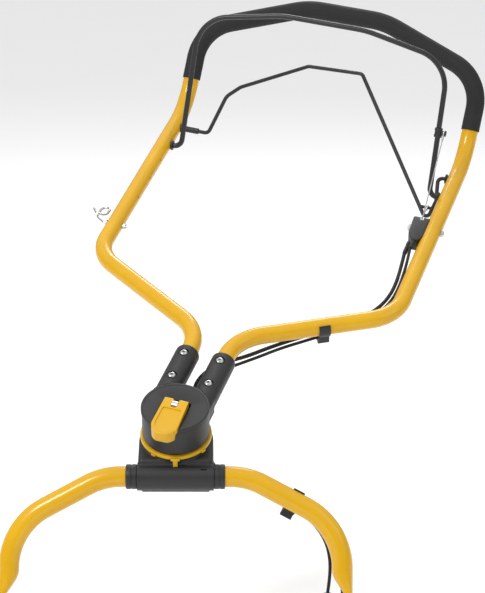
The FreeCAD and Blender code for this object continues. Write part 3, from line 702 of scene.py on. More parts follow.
    def nut(self, base: Point, tip: Point, across: float, hole: float) -> bpy.types.Object:
        """A hexagon nut with chamfered corners.

        Args:
            base: Centre of its near face.
            tip: Centre of its far face.
            across: Width across its flats.
            hole: The hole's radius.

        Returns:
            The nut.
        """
        way = Vector(tip) - Vector(base)
        corner, high = across / math.sqrt(3), way.length
        slant = (corner - across * 0.48) * 0.6
        limit = self.lathe([(0, 0), (across * 0.48, 0), (corner, slant), (corner, high - slant),
                            (across * 0.48, high), (0, high)], base, way, 48)
        piece = self.cylinder(base, tip, corner, 6)
        self.keep(piece, limit)
        reach = way.normalized()
        self.cut(piece, self.cylinder(Vector(base) - reach, Vector(tip) + reach, hole, 32))
        return piece

    def settle(self, piece: bpy.types.Object, name: str, body: Body, slot: Slot,
               replaced: Sequence[str] = (), smooth_angle: float = 40.0) -> bpy.types.Object:
        """Put a finished piece in its place, dress it and let it ride.

        Args:
            piece: The piece, modelled in the local frame.
            name: Its name.
            body: The body that carries it.
            slot: Its finish.
            replaced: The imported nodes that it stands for.
            smooth_angle: Edges flatter than this are shaded smooth.

        Returns:
            The piece.
        """
        self.pick(piece)
        piece.matrix_world = self.place.matrix
        bpy.ops.object.transform_apply()
        bpy.ops.object.shade_smooth_by_angle(angle=math.radians(smooth_angle))
        piece.name = name
        self.palette.dress(piece, slot)
        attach(piece, body.value)
        if replaced:
            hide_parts(*replaced)
        LOG.info("%s: %d faces", name, len(piece.data.polygons))
        return piece


def bent(points: Sequence[Point], radii: Sequence[float], step: float = 4.0) -> list[Vector]:
    """Points along straight runs joined by tangent arcs.

    Args:
        points: The corners, in millimetres.
        radii: The bend radius at each inner corner.
        step: Degrees between points on an arc.

    Returns:
        The points of the bent line.
    """
    corners = [Vector(p) for p in points]
    line = [corners[0]]
    for i, radius in enumerate(radii, 1):
        back = (corners[i - 1] - corners[i]).normalized()
        ahead = (corners[i + 1] - corners[i]).normalized()
        turn = math.pi - back.angle(ahead)
        centre = corners[i] + (back + ahead).normalized() * (radius / math.cos(turn / 2))
        start = corners[i] + back * (radius * math.tan(turn / 2)) - centre
        axis = start.cross(corners[i] - centre).normalized()
        count = max(2, round(math.degrees(turn) / step))
        line += [centre + Matrix.Rotation(turn * k / count, 3, axis) @ start for k in range(count + 1)]
    return line + [corners[-1]]


def arc(centre: tuple[float, float], radius: float, start: float, end: float,
        count: int) -> list[tuple[float, float]]:
    """Points on an arc in a plane, from one angle to another, in degrees.

    Args:
        centre: Its centre.
        radius: Its radius.
        start: The first angle.
        end: The last angle.
        count: How many steps it has.

    Returns:
        The points.
    """
    angles = [math.radians(start + (end - start) * k / count) for k in range(count + 1)]
    return [(centre[0] + radius * math.cos(a), centre[1] + radius * math.sin(a)) for a in angles]


def rounded(outline: Sequence[tuple[float, float]], radii: Sequence[float],
            step: float = 12.0) -> list[tuple[float, float]]:
    """A closed outline with its corners rounded, each by its own radius.

    Args:
        outline: The corners.
        radii: The radius at each corner; 0 keeps it sharp.
        step: Degrees between points on a corner.

    Returns:
        The rounded outline.
    """
    corners = [Vector((x, y, 0.0)) for x, y in outline]
    line = []
    for i, radius in enumerate(radii):
        here = corners[i]
        back = (corners[i - 1] - here).normalized()
        ahead = (corners[(i + 1) % len(corners)] - here).normalized()
        if radius <= 0.0:
            line.append((here.x, here.y))
            continue
        turn = math.pi - back.angle(ahead)
        centre = here + (back + ahead).normalized() * (radius / math.cos(turn / 2))
        start = here + back * (radius * math.tan(turn / 2)) - centre
        axis = start.cross(here - centre).normalized()
        count = max(2, round(math.degrees(turn) / step))
        spots = [centre + Matrix.Rotation(turn * k / count, 3, axis) @ start for k in range(count + 1)]
        line += [(p.x, p.y) for p in spots]
    return line


# ---------------------------------------------------------------- hub

@dataclass
class Hub:
    """The moulded swivel hub with its sockets, cover, lock lever and fasteners."""

    bench: Bench
    drum: float = 45.0
    floor: float = -30.0
    top: float = 12.0
    socket_v: float = 26.0
    socket_r: float = 17.0
    socket_end: float = 124.0
    screw_u: tuple[float, float] = (58.0, 106.0)
    cover_r: float = 46.0
    cover_top: float = 17.3
    lever_slope: float = 3.6

    def _sites(self) -> list[tuple[float, float]]:
        """Where the socket screws are."""
        return [(v, u) for v in (-self.socket_v, self.socket_v) for u in self.screw_u]

    def housing(self) -> None:
        """Drum and sockets, cast in one piece, with the seats cut crisply afterwards."""
        b = self.bench
        body = b.lathe([(0, self.floor), (self.drum - 1.5, self.floor), (self.drum, self.floor + 1.5),
                        (self.drum, self.top - 1.2), (self.drum - 1.2, self.top), (0, self.top)],
                       (0, 0, 0), (0, 0, 1), 144)
        for v in (-self.socket_v, self.socket_v):
            sleeve = b.lathe([(0, 22), (self.socket_r, 22), (self.socket_r, self.socket_end - 3)]
                             + arc((self.socket_r - 3, self.socket_end - 3), 3, 15, 90, 5)
                             + [(0, self.socket_end)], (v, 0, 0), (0, 1, 0))
            b.add(body, sleeve)
        b.add(body, b.block((-14, 30, -12), (14, 46, 8)), b.block((-42.5, 0, -13), (42.5, 36, 9)))
        b.cut(body, b.cylinder((0, 0, self.floor - 1), (0, 0, 3), 32))
        b.cast(body, 0.85, 5)
        pocket = b.cylinder((0, 0, self.top), (0, 0, 40), self.cover_r + 0.3, 144)
        b.add(pocket, b.block((-19, -7, 9), (19, 12, 40)))
        b.cut(body, pocket)
        seats = [b.cylinder((v, u, 14.2), (v, u, 30), 7.6, 48) for v, u in self._sites()]
        seats += [b.cylinder((v, u, -30), (v, u, -14), 7.0, 48) for v, u in self._sites()]
        seats += [b.cylinder((v, 60, 0), (v, self.socket_end + 5, 0), 12.55, 64)
                  for v in (-self.socket_v, self.socket_v)]
        b.cut(body, b.group(*seats))
        b.settle(body, "hub_casting", Body.UPPER, Slot.BLACK_PLASTIC, ["hub_housing"], 32)

    def cover(self) -> None:
        """Round cover with a soft rim and an open channel for the lever."""
        b = self.bench
        r, low, high = self.cover_r, self.top + 0.05, self.cover_top
        rim = arc((r - 1.6, high - 1.6), 1.6, 0, 90, 5)
        plate = b.lathe([(0, low), (r - 0.4, low), (r, low + 0.4)] + rim
                        + [(r - 3.2, high), (r - 3.7, high - 0.45), (0, high - 0.45)],
                        (0, 0, 0), (0, 0, 1), 160)
        channel = rounded([(-19.2, -60), (19.2, -60), (19.2, 12), (-19.2, 12)], [0, 0, 3, 3])
        b.cut(plate, b.slab(channel, 0, 40))
        b.round_edges(plate, 0.4, 2, 50)
        b.settle(plate, "cover_plate", Body.UPPER, Slot.BLACK_PLASTIC, ["hub_cover"], 32)

    def lever(self) -> None:
        """Cam lever with a raised rim, a recessed panel and a fork for the pin."""
        b = self.bench
        side = rounded([(8.5, 12.8), (8.5, 24.0), (-58, 19.8), (-58, 9), (-57, 4), (-48, 4), (-46.8, 11.4),
                        (-45.6, 12.8), (-8, 12.8)], [1, 3, 2.5, 2, 1.5, 1.5, 1, 1, 1], 6)
        body = b.rib(side, -18.5, 18.5)
        corners = rounded([(-16.3, 9), (16.3, 9), (18, -40), (-18, -40)], [2.5, 2.5, 0, 0])[:-2]
        b.keep(body, b.slab(corners + arc((0, -39.9), 18.1, -2, -178, 30), 0, 40))
        corners = rounded([(-13.2, -10.5), (13.2, -10.5), (14, -37), (-14, -37)], [3, 3, 0, 0])[:-2]
        recess = b.slab(corners + arc((0, -38), 14.0, -2, -178, 24), 22.1, 40)
        b.cut(body, b.tilt(recess, (0, 0, 22.1), self.lever_slope))
        b.round_edges(body, 0.75, 3, 40)
        b.cut(body, b.slab(rounded([(-4.4, -8), (4.4, -8), (4.4, 20), (-4.4, 20)], [2.5, 2.5, 0, 0]), 5, 40))
        b.cut(body, b.cylinder((-30, 0, 18.5), (30, 0, 18.5), 3.05, 48))
        b.settle(body, "cam_lever", Body.LEVER, Slot.YELLOW_PLASTIC, ["lock_lever"], 32)

    def fasteners(self) -> None:
        """Socket screws with ring washers, made dark as painted shade of the counterbores, and their nuts."""
        b = self.bench
        screws = [b.screw((v, u, 15.3), (v, u, -18.5), 2.9, 5.4, 2.9) for v, u in self._sites()]
        b.settle(b.group(*screws), "button_screws", Body.UPPER, Slot.CHROME_SCREW, ["socket_screws"])
        # painted shade: the washers are dark plastic so that they stand for the shadow in the counterbores round
        # the screw heads
        rings = [b.lathe([(3.0, 0), (7.0, 0), (7.0, 0.7), (6.6, 0.95), (3.0, 0.95)], (v, u, 14.25), (0, 0, 1))
                 for v, u in self._sites()]
        b.settle(b.group(*rings), "washers_painted_shade", Body.UPPER, Slot.BLACK_PLASTIC)
        nuts = [b.nut((v, u, -14.05), (v, u, -18.0), 10, 2.95) for v, u in self._sites()]
        b.settle(b.group(*nuts), "socket_nut_set", Body.UPPER, Slot.ZINC_STEEL, ["socket_nuts"])
        b.settle(b.nut((0, 0, -64.5), (0, 0, -72), 19, 6.05), "swivel_nut", Body.UPPER, Slot.ZINC_STEEL,
                 ["axle_nut"])
        coil = [(2.7 * math.cos(t), 38.5 + 2.7 * math.sin(t), -22.0 + 7.8 * t / (14 * math.pi))
                for t in (math.pi * k / 12 for k in range(14 * 12 + 1))]
        b.settle(b.bar(coil, 0.5, 4), "detent_coil", Body.UPPER, Slot.ZINC_STEEL, ["detent_spring"])

    def build(self) -> None:
        """Make the hub."""
        self.housing()
        self.cover()
        self.lever()
        self.fasteners()


# ---------------------------------------------------------------- saddle

@dataclass
class Saddle:
    """The barrel's two halves, its collars and the detent ring."""

    bench: Bench
    ring_bench: Bench
    barrel: float = 18.5
    bore: float = 15.65
    half: float = 51.0
    disc_back: float = 50.0
    disc_top: float = 28.7

    def casting(self) -> None:
        """Rear half of the barrel, with the block and disc that carry the hub."""
        b = self.bench
        body = b.cylinder((-self.half, 0, 0), (self.half, 0, 0), self.barrel, 96)
        plan = [(-50, 4), (50, 4)] + arc((0, self.disc_back), 50, 0, 180, 48)
        block = b.slab(plan, -16.8, 23.7)
        b.round_edges(block, 6.0, 4, 60)
        b.keep(block, b.block((-60, 4, -40), (60, 120, 40)))
        b.add(body, block, b.cylinder((0, self.disc_back, 19.7), (0, self.disc_back, self.disc_top), 46, 144))
        b.cut(body, b.block((-46, -50, -40), (46, 22, -16.8)))
        for x in (-33.0, 33.0):
            b.cut(body, b.block((x - 13, 22, -30), (x + 13, 46, 17.7)))
        b.cut(body, b.cylinder((0, self.disc_back, -40), (0, self.disc_back, 10), 15))
        b.cast(body, 0.9, 5)
        b.cut(body, b.block((-60, -60, -60), (60, 0.1, 60)))
        b.cut(body, b.cylinder((-80, 0, 0), (80, 0, 0), self.bore, 96))
        b.settle(body, "saddle_casting", Body.SADDLE, Slot.BLACK_PLASTIC, ["saddle"], 32)

    def cap(self) -> None:
        """Front half of the barrel with its screw foot and a sight slot."""
        b = self.bench
        body = b.cylinder((-self.half, 0, 0), (self.half, 0, 0), self.barrel, 128)
        b.keep(body, b.block((-60, -60, -60), (60, -0.1, 60)))
        foot = b.slab(rounded([(-46, -7), (46, -7), (46, 21.5), (-46, 21.5)], [3, 3, 3, 3]), -21.5, -17)
        b.add(body, foot, b.block((-46, -7, -17.5), (46, -0.1, -12)))
        b.cut(body, b.cylinder((-80, 0, 0), (80, 0, 0), self.bore, 96))
        b.cut(body, b.block((33.7, -5.9, 16.3), (41.7, -3.7, 19.4)))
        b.round_edges(body, 0.7, 3, 40)
        b.settle(body, "front_cap", Body.SADDLE, Slot.BLACK_PLASTIC, ["barrel_cap"], 32)

    def collars(self) -> None:
        """Stepped stop rings at both ends of the barrel."""
        profile = [(14.05, 51.3), (15.9, 51.3), (16.6, 52.0), (16.6, 57.6), (16.1, 58.0), (16.1, 59.2),
                   (16.6, 59.6), (16.6, 64.4), (16.3, 65.3), (15.5, 66.0), (14.6, 66.0), (14.05, 65.4)]
        for side, name in ((1, "right"), (-1, "left")):
            ring = self.bench.lathe(profile, (0, 0, 0), (side, 0, 0), 96)
            self.bench.settle(ring, f"stop_ring_{name}", Body.LOWER, Slot.BLACK_PLASTIC, [f"collar_{name}"])

    def detent_ring(self) -> None:
        """Yellow ring with its pointer, lug and tabs."""
        b = self.ring_bench
        low, high = -35.2, -30.3
        body = b.lathe([(34, low), (47.3, low), (48, low + 0.6), (48, high - 0.8), (47.2, high), (34, high)],
                       (0, 0, 0), (0, 0, 1), 144)
        pointer = b.block((-3, -50.5, -52), (3, -47.5, high - 0.5))
        b.cut(pointer, b.cylinder((-20, -50, -64), (20, -50, -64), self.barrel + 0.25))
        corners = rounded([(-6, -50.5), (6, -50.5), (6, -45), (-6, -45)], [1.5, 1.5, 0, 0])
        lug = b.slab(corners, low, high - 0.5)
        b.add(body, pointer, lug)
        for degrees in (-127, -40, 45):
            turn = math.radians(degrees)
            out = Vector((math.cos(turn), math.sin(turn)))
            side = Vector((-out.y, out.x))
            base = [out * 45 - side * 3.5, out * 49.8 - side * 3.5, out * 49.8 + side * 3.5,
                    out * 45 + side * 3.5]
            b.add(body, b.slab(rounded([tuple(p) for p in base], [0, 1, 1, 0]), low, high - 0.8))
        seats = []
        for k in range(5):
            turn = math.radians(18.3 * (k - 2) / 2 + 90)
            seats.append(b.lathe([(0, -4.4), (2.2, -3.6), (4.2, -1.4), (4.8, 2), (0, 2)],
                                 (38.5 * math.cos(turn), 38.5 * math.sin(turn), -26.2), (0, 0, 1), 32))
        for seat in seats:
            b.cut(body, seat)
        b.round_edges(body, 0.4, 2, 45)
        b.settle(body, "detent_ring", Body.SADDLE, Slot.YELLOW_PLASTIC, ["index_ring"], 32)

    def build(self) -> None:
        """Make the saddle's pieces."""
        self.casting()
        self.cap()
        self.collars()
        self.detent_ring()


# ---------------------------------------------------------------- handles

@dataclass
class UpperHandle:
    """The bent upper tube, its foam grip and the small parts on its arms."""

    bench: Bench
    tube: float = UPPER_TUBE
    foam: float = 14.0
    kink: float = 50.0
    kink_u: float = 680.0
    socket_v: float = 26.0
    elbow_v: float = 225.0
    elbow_u: float = 290.0
    grip_v: float = 228.0
    guide_u: float = 362.0
    bracket_u: float = 492.0

    def _side(self, side: int) -> list[Point]:
        """Corners of one arm, from its socket to the grip's bow.

        Args:
            side: 1 for the right arm, -1 for the left.

        Returns:
            The corners, in millimetres.
        """
        c, s = math.cos(math.radians(self.kink)), math.sin(math.radians(self.kink))
        kink, grip = self.kink_u, side * self.grip_v
        return [(side * self.socket_v, 47, 0), (side * self.socket_v, 172, 0),
                (side * self.elbow_v, self.elbow_u, 0), (grip, kink, 0),
                (grip, kink + 130 * c, 130 * s), (side * 62, kink + 190 * c, 190 * s)]

    def arm_v(self, u: float) -> float:
        """How far out the arm's centre is at a station above the elbow.

        Args:
            u: The station, in millimetres.

        Returns:
            The distance from the middle.
        """
        share = (u - self.elbow_u) / (self.kink_u - self.elbow_u)
        return self.elbow_v + (self.grip_v - self.elbow_v) * share

    def frame_tube(self) -> None:
        """The tube, with its small vent holes."""
        radii = [70, 65, 90, 68, 125]
        b = self.bench
        pipe = b.bar(bent(self._side(-1) + self._side(1)[::-1], radii + radii[::-1], 2.5), self.tube, 22)
        holes = [b.cylinder((-205, u, 4), (-self.arm_v(u) + 6, u, 4), 1.6, 24) for u in (430, 482, 530, 604)]
        b.cut(pipe, b.group(*holes))
        b.settle(pipe, "bent_tube", Body.UPPER, Slot.YELLOW_PAINT, ["upper_tube"], 50)

    def sleeve(self) -> None:
        """The foam sleeve, soft at both ends."""
        c, s = math.cos(math.radians(self.kink)), math.sin(math.radians(self.kink))
        ends = [(side * self.grip_v, self.kink_u + 48 * c, 48 * s) for side in (-1, 1)]
        line = [ends[0]] + self._side(-1)[4:] + self._side(1)[:3:-1] + [ends[1]]
        foam = self.bench.bar(bent(line, [68, 125, 125, 68], 2.5), self.foam, 22)
        self.bench.round_edges(foam, 1.3, 4, 60)
        self.bench.settle(foam, "foam_grip", Body.UPPER, Slot.GRIP_FOAM, ["grip_sleeve"], 50)

    def bushes(self) -> None:
        """Flanged bushes for both bails, and the drive bail's spacer."""
        b = self.bench
        for name, u, hole in (("brake", BRAKE_PIVOT, 4.06), ("drive", DRIVE_PIVOT, 3.06)):
            wall = self.arm_v(u) - self.tube
            profile = [(hole, -4), (6.4, -4), (6.4, 0.4), (7.4, 0.4), (7.6, 0.7), (7.6, 2.4), (7.0, 3.0),
                       (hole + 0.4, 3.0), (hole, 2.6)]
            for side, end in ((-1, "left"), (1, "right")):
                bush = b.lathe(profile, (side * wall, u, 0), (-side, 0, 0), 64)
                b.settle(bush, f"{name}_pivot_{end}", Body.UPPER, Slot.BLACK_PLASTIC, [f"{name}_bush_{end}"])
        wall = self.arm_v(DRIVE_PIVOT) - self.tube
        spacer = b.lathe([(3.1, 0), (4.2, 0), (4.6, 0.4), (4.6, 24.6), (4.2, 25), (3.1, 25)],
                         (-wall + 3.2, DRIVE_PIVOT, 0), (1, 0, 0), 48)
        b.settle(spacer, "bail_spacer", Body.UPPER, Slot.BLACK_PLASTIC, ["drive_spacer"])

    def bracket(self) -> None:
        """Anchor block for both sheaths, with its bolt, nut and ribbed ferrules."""
        b = self.bench
        top = 510
        outline = rounded([(193, top), (218, top), (218, 464), (212, 455), (203, 455), (195, 470),
                           (193.5, 496)], [3, 2, 3, 2, 2, 4, 20], 15)
        body = b.slab(outline[::-1], -11, 10)
        b.round_edges(body, 1.4, 3, 50)
        b.cut(body, b.cylinder((self.arm_v(440), 440, 0), (self.arm_v(530), 530, 0), self.tube + 0.1))
        b.cut(body, b.cylinder((180, self.bracket_u, 0), (260, self.bracket_u, 0), 3.1, 32))
        bores = (BRAKE_BORE, DRIVE_BORE)
        for v, w in bores:
            b.cut(body, b.lathe([(0, 440), (3.6, 440), (3.6, 465), (2.2, 465.4), (2.2, top - 7.4),
                                 (5.2, top - 7), (5.2, 530), (0, 530)], (v, 0, w), (0, 1, 0), 40))
        b.settle(body, "anchor_block", Body.UPPER, Slot.BLACK_PLASTIC, ["cable_bracket"], 32)
        wall = self.arm_v(self.bracket_u)
        bolt = b.screw((wall + self.tube + 0.1, self.bracket_u, 0), (188.5, self.bracket_u, 0), 2.9, 5.0, 4.0)
        b.settle(bolt, "anchor_bolt", Body.UPPER, Slot.CHROME_SCREW, ["bracket_bolt"])
        b.settle(b.nut((193.4, self.bracket_u, 0), (189.4, self.bracket_u, 0), 10, 2.95), "anchor_nut",
                 Body.UPPER, Slot.ZINC_STEEL, ["bracket_nut"])
        for name, (v, w) in zip(("brake", "drive"), bores):
            profile = [(1.3, 0), (2.9, 0), (3.2, 0.6)]
            for k in range(5):
                low = 1.2 + 3.4 * k
                profile += [(3.5, low), (3.5, low + 2.0), (3.0, low + 2.4), (3.0, low + 3.0)]
            profile += [(3.5, 18.6), (3.5, 26.4), (3.2, 26.8), (1.3, 26.8)]
            b.settle(b.lathe(profile, (v, 438, w), (0, 1, 0), 40), f"{name}_sheath_end", Body.UPPER,
                     Slot.BLACK_PLASTIC, [f"{name}_ferrule"], 50)

    def guide(self) -> None:
        """Pigtail eye for the starter rope, with its nut and washer."""
        b = self.bench
        u = self.guide_u
        points = [(-206, u, 0), (-243.5, u, 0), (-257, 369, 2), (-257, 390, 3.5), (-242.5, 391, 5.5),
                  (-242.5, 371, 7.5), (-256, 367, 9.5), (-264, 376, 11.0)]
        eye = b.bar(bent(points, [3, 8, 7, 6.5, 6.5, 5], 7), 1.9, 10)
        b.round_edges(eye, 0.6, 3, 60)
        b.settle(eye, "pigtail_eye", Body.UPPER, Slot.CHROME_SCREW, ["rope_guide"], 50)
        inner, outer = self.arm_v(u) - self.tube, self.arm_v(u) + self.tube
        nut = b.nut((-(inner - 0.2), u, 0), (-(inner - 4.2), u, 0), 8, 1.95)
        washer = b.lathe([(1.95, 0.2), (4.5, 0.2), (4.5, 1.1), (4.2, 1.4), (1.95, 1.4)], (-outer, u, 0),
                         (-1, 0, 0), 40)
        b.settle(b.group(nut, washer), "eye_fasteners", Body.UPPER, Slot.ZINC_STEEL, ["guide_nuts"])

    def build(self) -> None:
        """Make the upper handle's pieces."""
        self.frame_tube()
        self.sleeve()
        self.bushes()
        self.bracket()
        self.guide()


@dataclass
class LowerHandle:
    """The inverted U of larger tube with its pressed, drilled feet."""

    bench: Bench
    tube: float = LOWER_TUBE
    leg: float = 222.0
    press_top: float = 124.0
    press_run: float = 48.0
    half_thick: float = 3.0
    half_wide: float = 19.0
    low_hole: float = 222.0
    high_hole: float = 187.0

    def _foot(self, side: int) -> list[Point]:
        """Points down one leg, close together where the tube is pressed flat.

        Args:
            side: 1 for the right leg, -1 for the left.

        Returns:
            The points, in millimetres.
        """
        run = [self.press_top + 4 * k for k in range(13)] + [self.high_hole, 205.0]
        run += [self.low_hole + self.half_wide * math.sin(math.radians(7 * k)) for k in range(13)]
        return [(side * self.leg, -drop, 0) for drop in run]

    def _press(self, point: Vector) -> Vector:
        """Where a point of the round tube ends up in the pressed foot, in millimetres.

        Args:
            point: A point on the round tube.

        Returns:
            Its place after pressing.
        """
        drop = -point.y
        if drop <= self.press_top + 0.01:
            return point
        side = math.copysign(1.0, point.x)
        share = min(1.0, (drop - self.press_top) / self.press_run)
        share = share * share * (3 - 2 * share)
        off = point.x - side * self.leg
        wide = point.z * self.half_wide / self.tube
        edge = max(0.0, abs(wide) - self.half_wide + self.half_thick)
        thick = math.copysign(math.sqrt(max(0.0, self.half_thick ** 2 - edge ** 2)), off)
        flat = side * (self.leg + self.tube - self.half_thick) + thick
        past = min(0.995, max(0.0, (drop - self.low_hole) / self.half_wide))
        wide *= math.sqrt(1 - past * past)
        return Vector((point.x + (flat - point.x) * share, point.y, point.z + (wide - point.z) * share))

    def build(self) -> None:
        """Sweep the tube, press its feet and drill them."""
        b = self.bench
        ends = [self._foot(side) for side in (-1, 1)]
        line = bent([ends[0][0], (-self.leg, -67, 0), (-96, 0, 0), (96, 0, 0),
                     (self.leg, -67, 0), ends[1][0]], [92, 95, 95, 92], 2.5)
        pipe = b.bar([Vector(p) for p in ends[0][:0:-1]] + line + [Vector(p) for p in ends[1][1:]],
                     self.tube, 26)
        for vertex in pipe.data.vertices:
            vertex.co = self._press(vertex.co / MM) * MM
        holes = [b.cylinder((side * 220, -drop, 0), (side * 245, -drop, 0), 4.25, 48)
                 for side in (-1, 1) for drop in (self.low_hole, self.high_hole)]
        b.cut(pipe, b.group(*holes))
        b.settle(pipe, "pressed_tube", Body.LOWER, Slot.YELLOW_PAINT, ["lower_tube"], 40)


# ---------------------------------------------------------------- bails and wires

@dataclass
class Bails:
    """Both wire bails, the clip on the brake bail and both inner wires."""

    hub: Place
    palette: Palette
    brake_u: float = BRAKE_PIVOT
    brake_angle: float = 64.6
    drive_u: float = DRIVE_PIVOT
    drive_angle: float = 25.0
    brake_pin_h: float = 97.0
    drive_pin_h: float = -54.0

    def brake(self) -> None:
        """Loop over the grip, with its moulded clip and pin."""
        b = Bench(self.hub.turned((0, self.brake_u, 0), self.brake_angle), self.palette)
        half = [(226, 0, 0), (199, 0, 0), (195.7, 204, 0), (65, 228.6, 0)]
        corners = [(-v, h, n) for v, h, n in half] + half[::-1]
        loop = b.bar(bent(corners, [12, 55, 150, 150, 55, 12], 3), 4.0, 14)
        b.round_edges(loop, 0.8, 3, 60)
        b.settle(loop, "brake_loop", Body.BRAKE, Slot.BLACK_WIRE, ["brake_bail"], 50)
        h = self.brake_pin_h
        v = 199 - 3.3 * h / 204
        clip = b.lathe([(4.1, -7), (5.6, -7), (6, -6.5), (6, -3), (5.4, -2.6), (5.4, 2.6), (6, 3), (6, 6.5),
                        (5.6, 7), (4.1, 7)], (v, h, 0), (0, 1, 0), 56)
        b.add(clip, b.cylinder((v + 4.5, h, 0), (v + 7.5, h, 0), 4.2, 40, 3.2))
        b.add(clip, b.cylinder((v + 4.5, h, 0), (208.5, h, 0), 3.0, 40))
        b.add(clip, b.lathe([(0, 0), (4.1, 0), (4.4, 0.3), (4.4, 1.1), (3.9, 1.6), (0, 1.6)], (207.8, h, 0),
                            (1, 0, 0), 40))
        b.settle(clip, "bail_clip", Body.BRAKE, Slot.BLACK_PLASTIC, ["brake_hook"], 40)

    def drive(self) -> None:
        """Offset lever wire with its hook for the drive cable."""
        b = Bench(self.hub.turned((0, self.drive_u, 0), self.drive_angle), self.palette)
        points = [(-226, 0, 0), (-171, 0, 0), (-162, 71, 0), (-145, 92, 0), (-49, 152, 0), (38, 156, 0),
                  (202, -77, 0), (208, -40, 0), (201, 0, 0), (226, 0, 0)]
        lever = b.bar(bent(points, [7, 22, 16, 9, 9, 5.5, 12, 7], 4), 3.0, 12)
        b.round_edges(lever, 0.6, 3, 60)
        pin = b.lathe([(0, 0), (1.9, 0), (2.4, 0.5), (2.4, 17.4), (1.9, 18), (0, 18)],
                      (187, self.drive_pin_h, 0), (1, 0, 0), 40)
        b.add(lever, pin)
        b.settle(lever, "drive_loop", Body.DRIVE, Slot.BLACK_WIRE, ["drive_bail"], 50)

    def _wire(self, name: str, body: Body, pin: Point, pin_r: float, end: Point) -> None:
        """One inner wire: seven twisted strands from an eye to the bracket.

        Args:
            name: The cable that it belongs to.
            body: The body that carries it.
            pin: The centre of its pin.
            pin_r: The pin's radius.
            end: Where it enters the bracket.
        """
        b = Bench(self.hub, self.palette)
        eye = b.lathe([(pin_r + 0.06, -1.2), (pin_r + 1.6, -1.2), (pin_r + 1.9, -0.8), (pin_r + 1.9, 0.8),
                       (pin_r + 1.6, 1.2), (pin_r + 0.06, 1.2)], pin, (1, 0, 0), 48)
        start, way = Vector(pin), Vector(end) - Vector(pin)
        start = start + way.normalized() * (pin_r + 1.2)
        way = Vector(end) - start
        side = way.orthogonal().normalized()
        sleeve = b.cylinder(start, start + way.normalized() * 7, 1.7, 24, 1.4)
        strands = [sleeve, b.bar([start, Vector(end)], 0.32, 3)]
        count = round(way.length / 1.5)
        for k in range(6):
            twist = [start + way * (j / count) + Matrix.Rotation(math.radians(60 * k + 45 * j), 3, way)
                     @ (side * 0.6) for j in range(count + 1)]
            strands.append(b.bar(twist, 0.3, 2))
        b.settle(b.group(eye, *strands), f"{name}_strands", body, Slot.BARE_CABLE, [f"{name}_wire"], 60)

    def wires(self) -> None:
        """Both inner wires."""
        for name, body, u, angle, h, pin_r, (v, w) in (
                ("brake", Body.BRAKE_PULL, self.brake_u, self.brake_angle, self.brake_pin_h, 3.0,
                 BRAKE_BORE),
                ("drive", Body.DRIVE_PULL, self.drive_u, self.drive_angle, self.drive_pin_h, 2.4,
                 DRIVE_BORE)):
            a = math.radians(angle)
            self._wire(name, body, (v, u + h * math.cos(a), h * math.sin(a)), pin_r, (v, 505, w))

    def build(self) -> None:
        """Make the bails and wires."""
        self.brake()
        self.drive()
        self.wires()


# ---------------------------------------------------------------- clips and connectors

@dataclass
class Clip:
    """A sprung band on a tube, with a block that holds both cables."""

    name: str
    body: Body
    owner: Place
    palette: Palette
    centre: Point
    run: Point
    tube: float
    held: Sequence[tuple[Point, float]]
    block: tuple[Point, Point]
    gap: tuple[float, float]
    half: float = 8.0

    def build(self) -> None:
        """Make the clip in a frame of its own along the tube."""
        turn = self.owner.matrix.to_3x3()
        way, up = (turn @ Vector(self.run)).normalized(), self.owner.up
        b = Bench(Place(self.owner.at(self.centre), way, up.cross(way), up), self.palette)
        across = Vector((0, 0, 1)).cross(Vector(self.run).normalized())
        start, end = self.gap[1], self.gap[0] + 360
        band = arc((0, 0), self.tube + 2.2, start, end, 48) + arc((0, 0), self.tube + 0.15, end, start, 48)
        body = b.rib(band, -self.half, self.half)
        (y0, z0), (y1, z1) = self.block
        outline = rounded([(y0, z0), (y1, z0), (y1, z1), (y0, z1)], [2, 2, 2, 2])
        holder = b.rib(outline, -self.half, self.half)
        b.cut(holder, b.cylinder((-20, 0, 0), (20, 0, 0), self.tube + 0.15))
        for point, radius in self.held:
            row = (Vector(point) - Vector(self.centre)).dot(across)
            b.cut(holder, b.cylinder((-20, row, point[2]), (20, row, point[2]), radius + 2.8, 40))
        b.add(body, holder)
        b.round_edges(body, 0.5, 2, 50)
        b.settle(body, f"{self.name}_band", self.body, Slot.BLACK_PLASTIC, [self.name], 32)


@dataclass
class Connector:
    """The plug at the foot of a cable, ribbed for grip."""

    name: str
    bench: Bench
    foot: Point
    size: float

    def build(self) -> None:
        """Make the plug, its ribs and nose."""
        b = self.bench
        v, u, w = self.foot
        half = self.size / 2
        body = b.block((v - half, u - 24, w - half), (v + half, u - 0.4, w + half))
        b.round_edges(body, 1.5, 3)
        for k in range(4):
            low = u - 6.5 - 3.2 * k
            groove = b.block((v - 20, low, w - 20), (v + 20, low + 1.2, w + 20))
            b.cut(groove, b.block((v - half + 0.6, low - 1, w - half + 0.6),
                                  (v + half - 0.6, low + 3, w + half - 0.6)))
            b.cut(body, groove)
        b.add(body, b.lathe([(0, -33), (half - 2.4, -33), (half - 1.8, -32.4), (half - 1.8, -26),
                             (half - 1.2, -25.4), (half - 1.2, -23), (0, -23)], (v, u, w), (0, 1, 0), 48))
        b.settle(body, f"{self.name}_plug", Body.LOWER, Slot.BLACK_PLASTIC, [f"{self.name}_connector"], 32)


# ---------------------------------------------------------------- cables

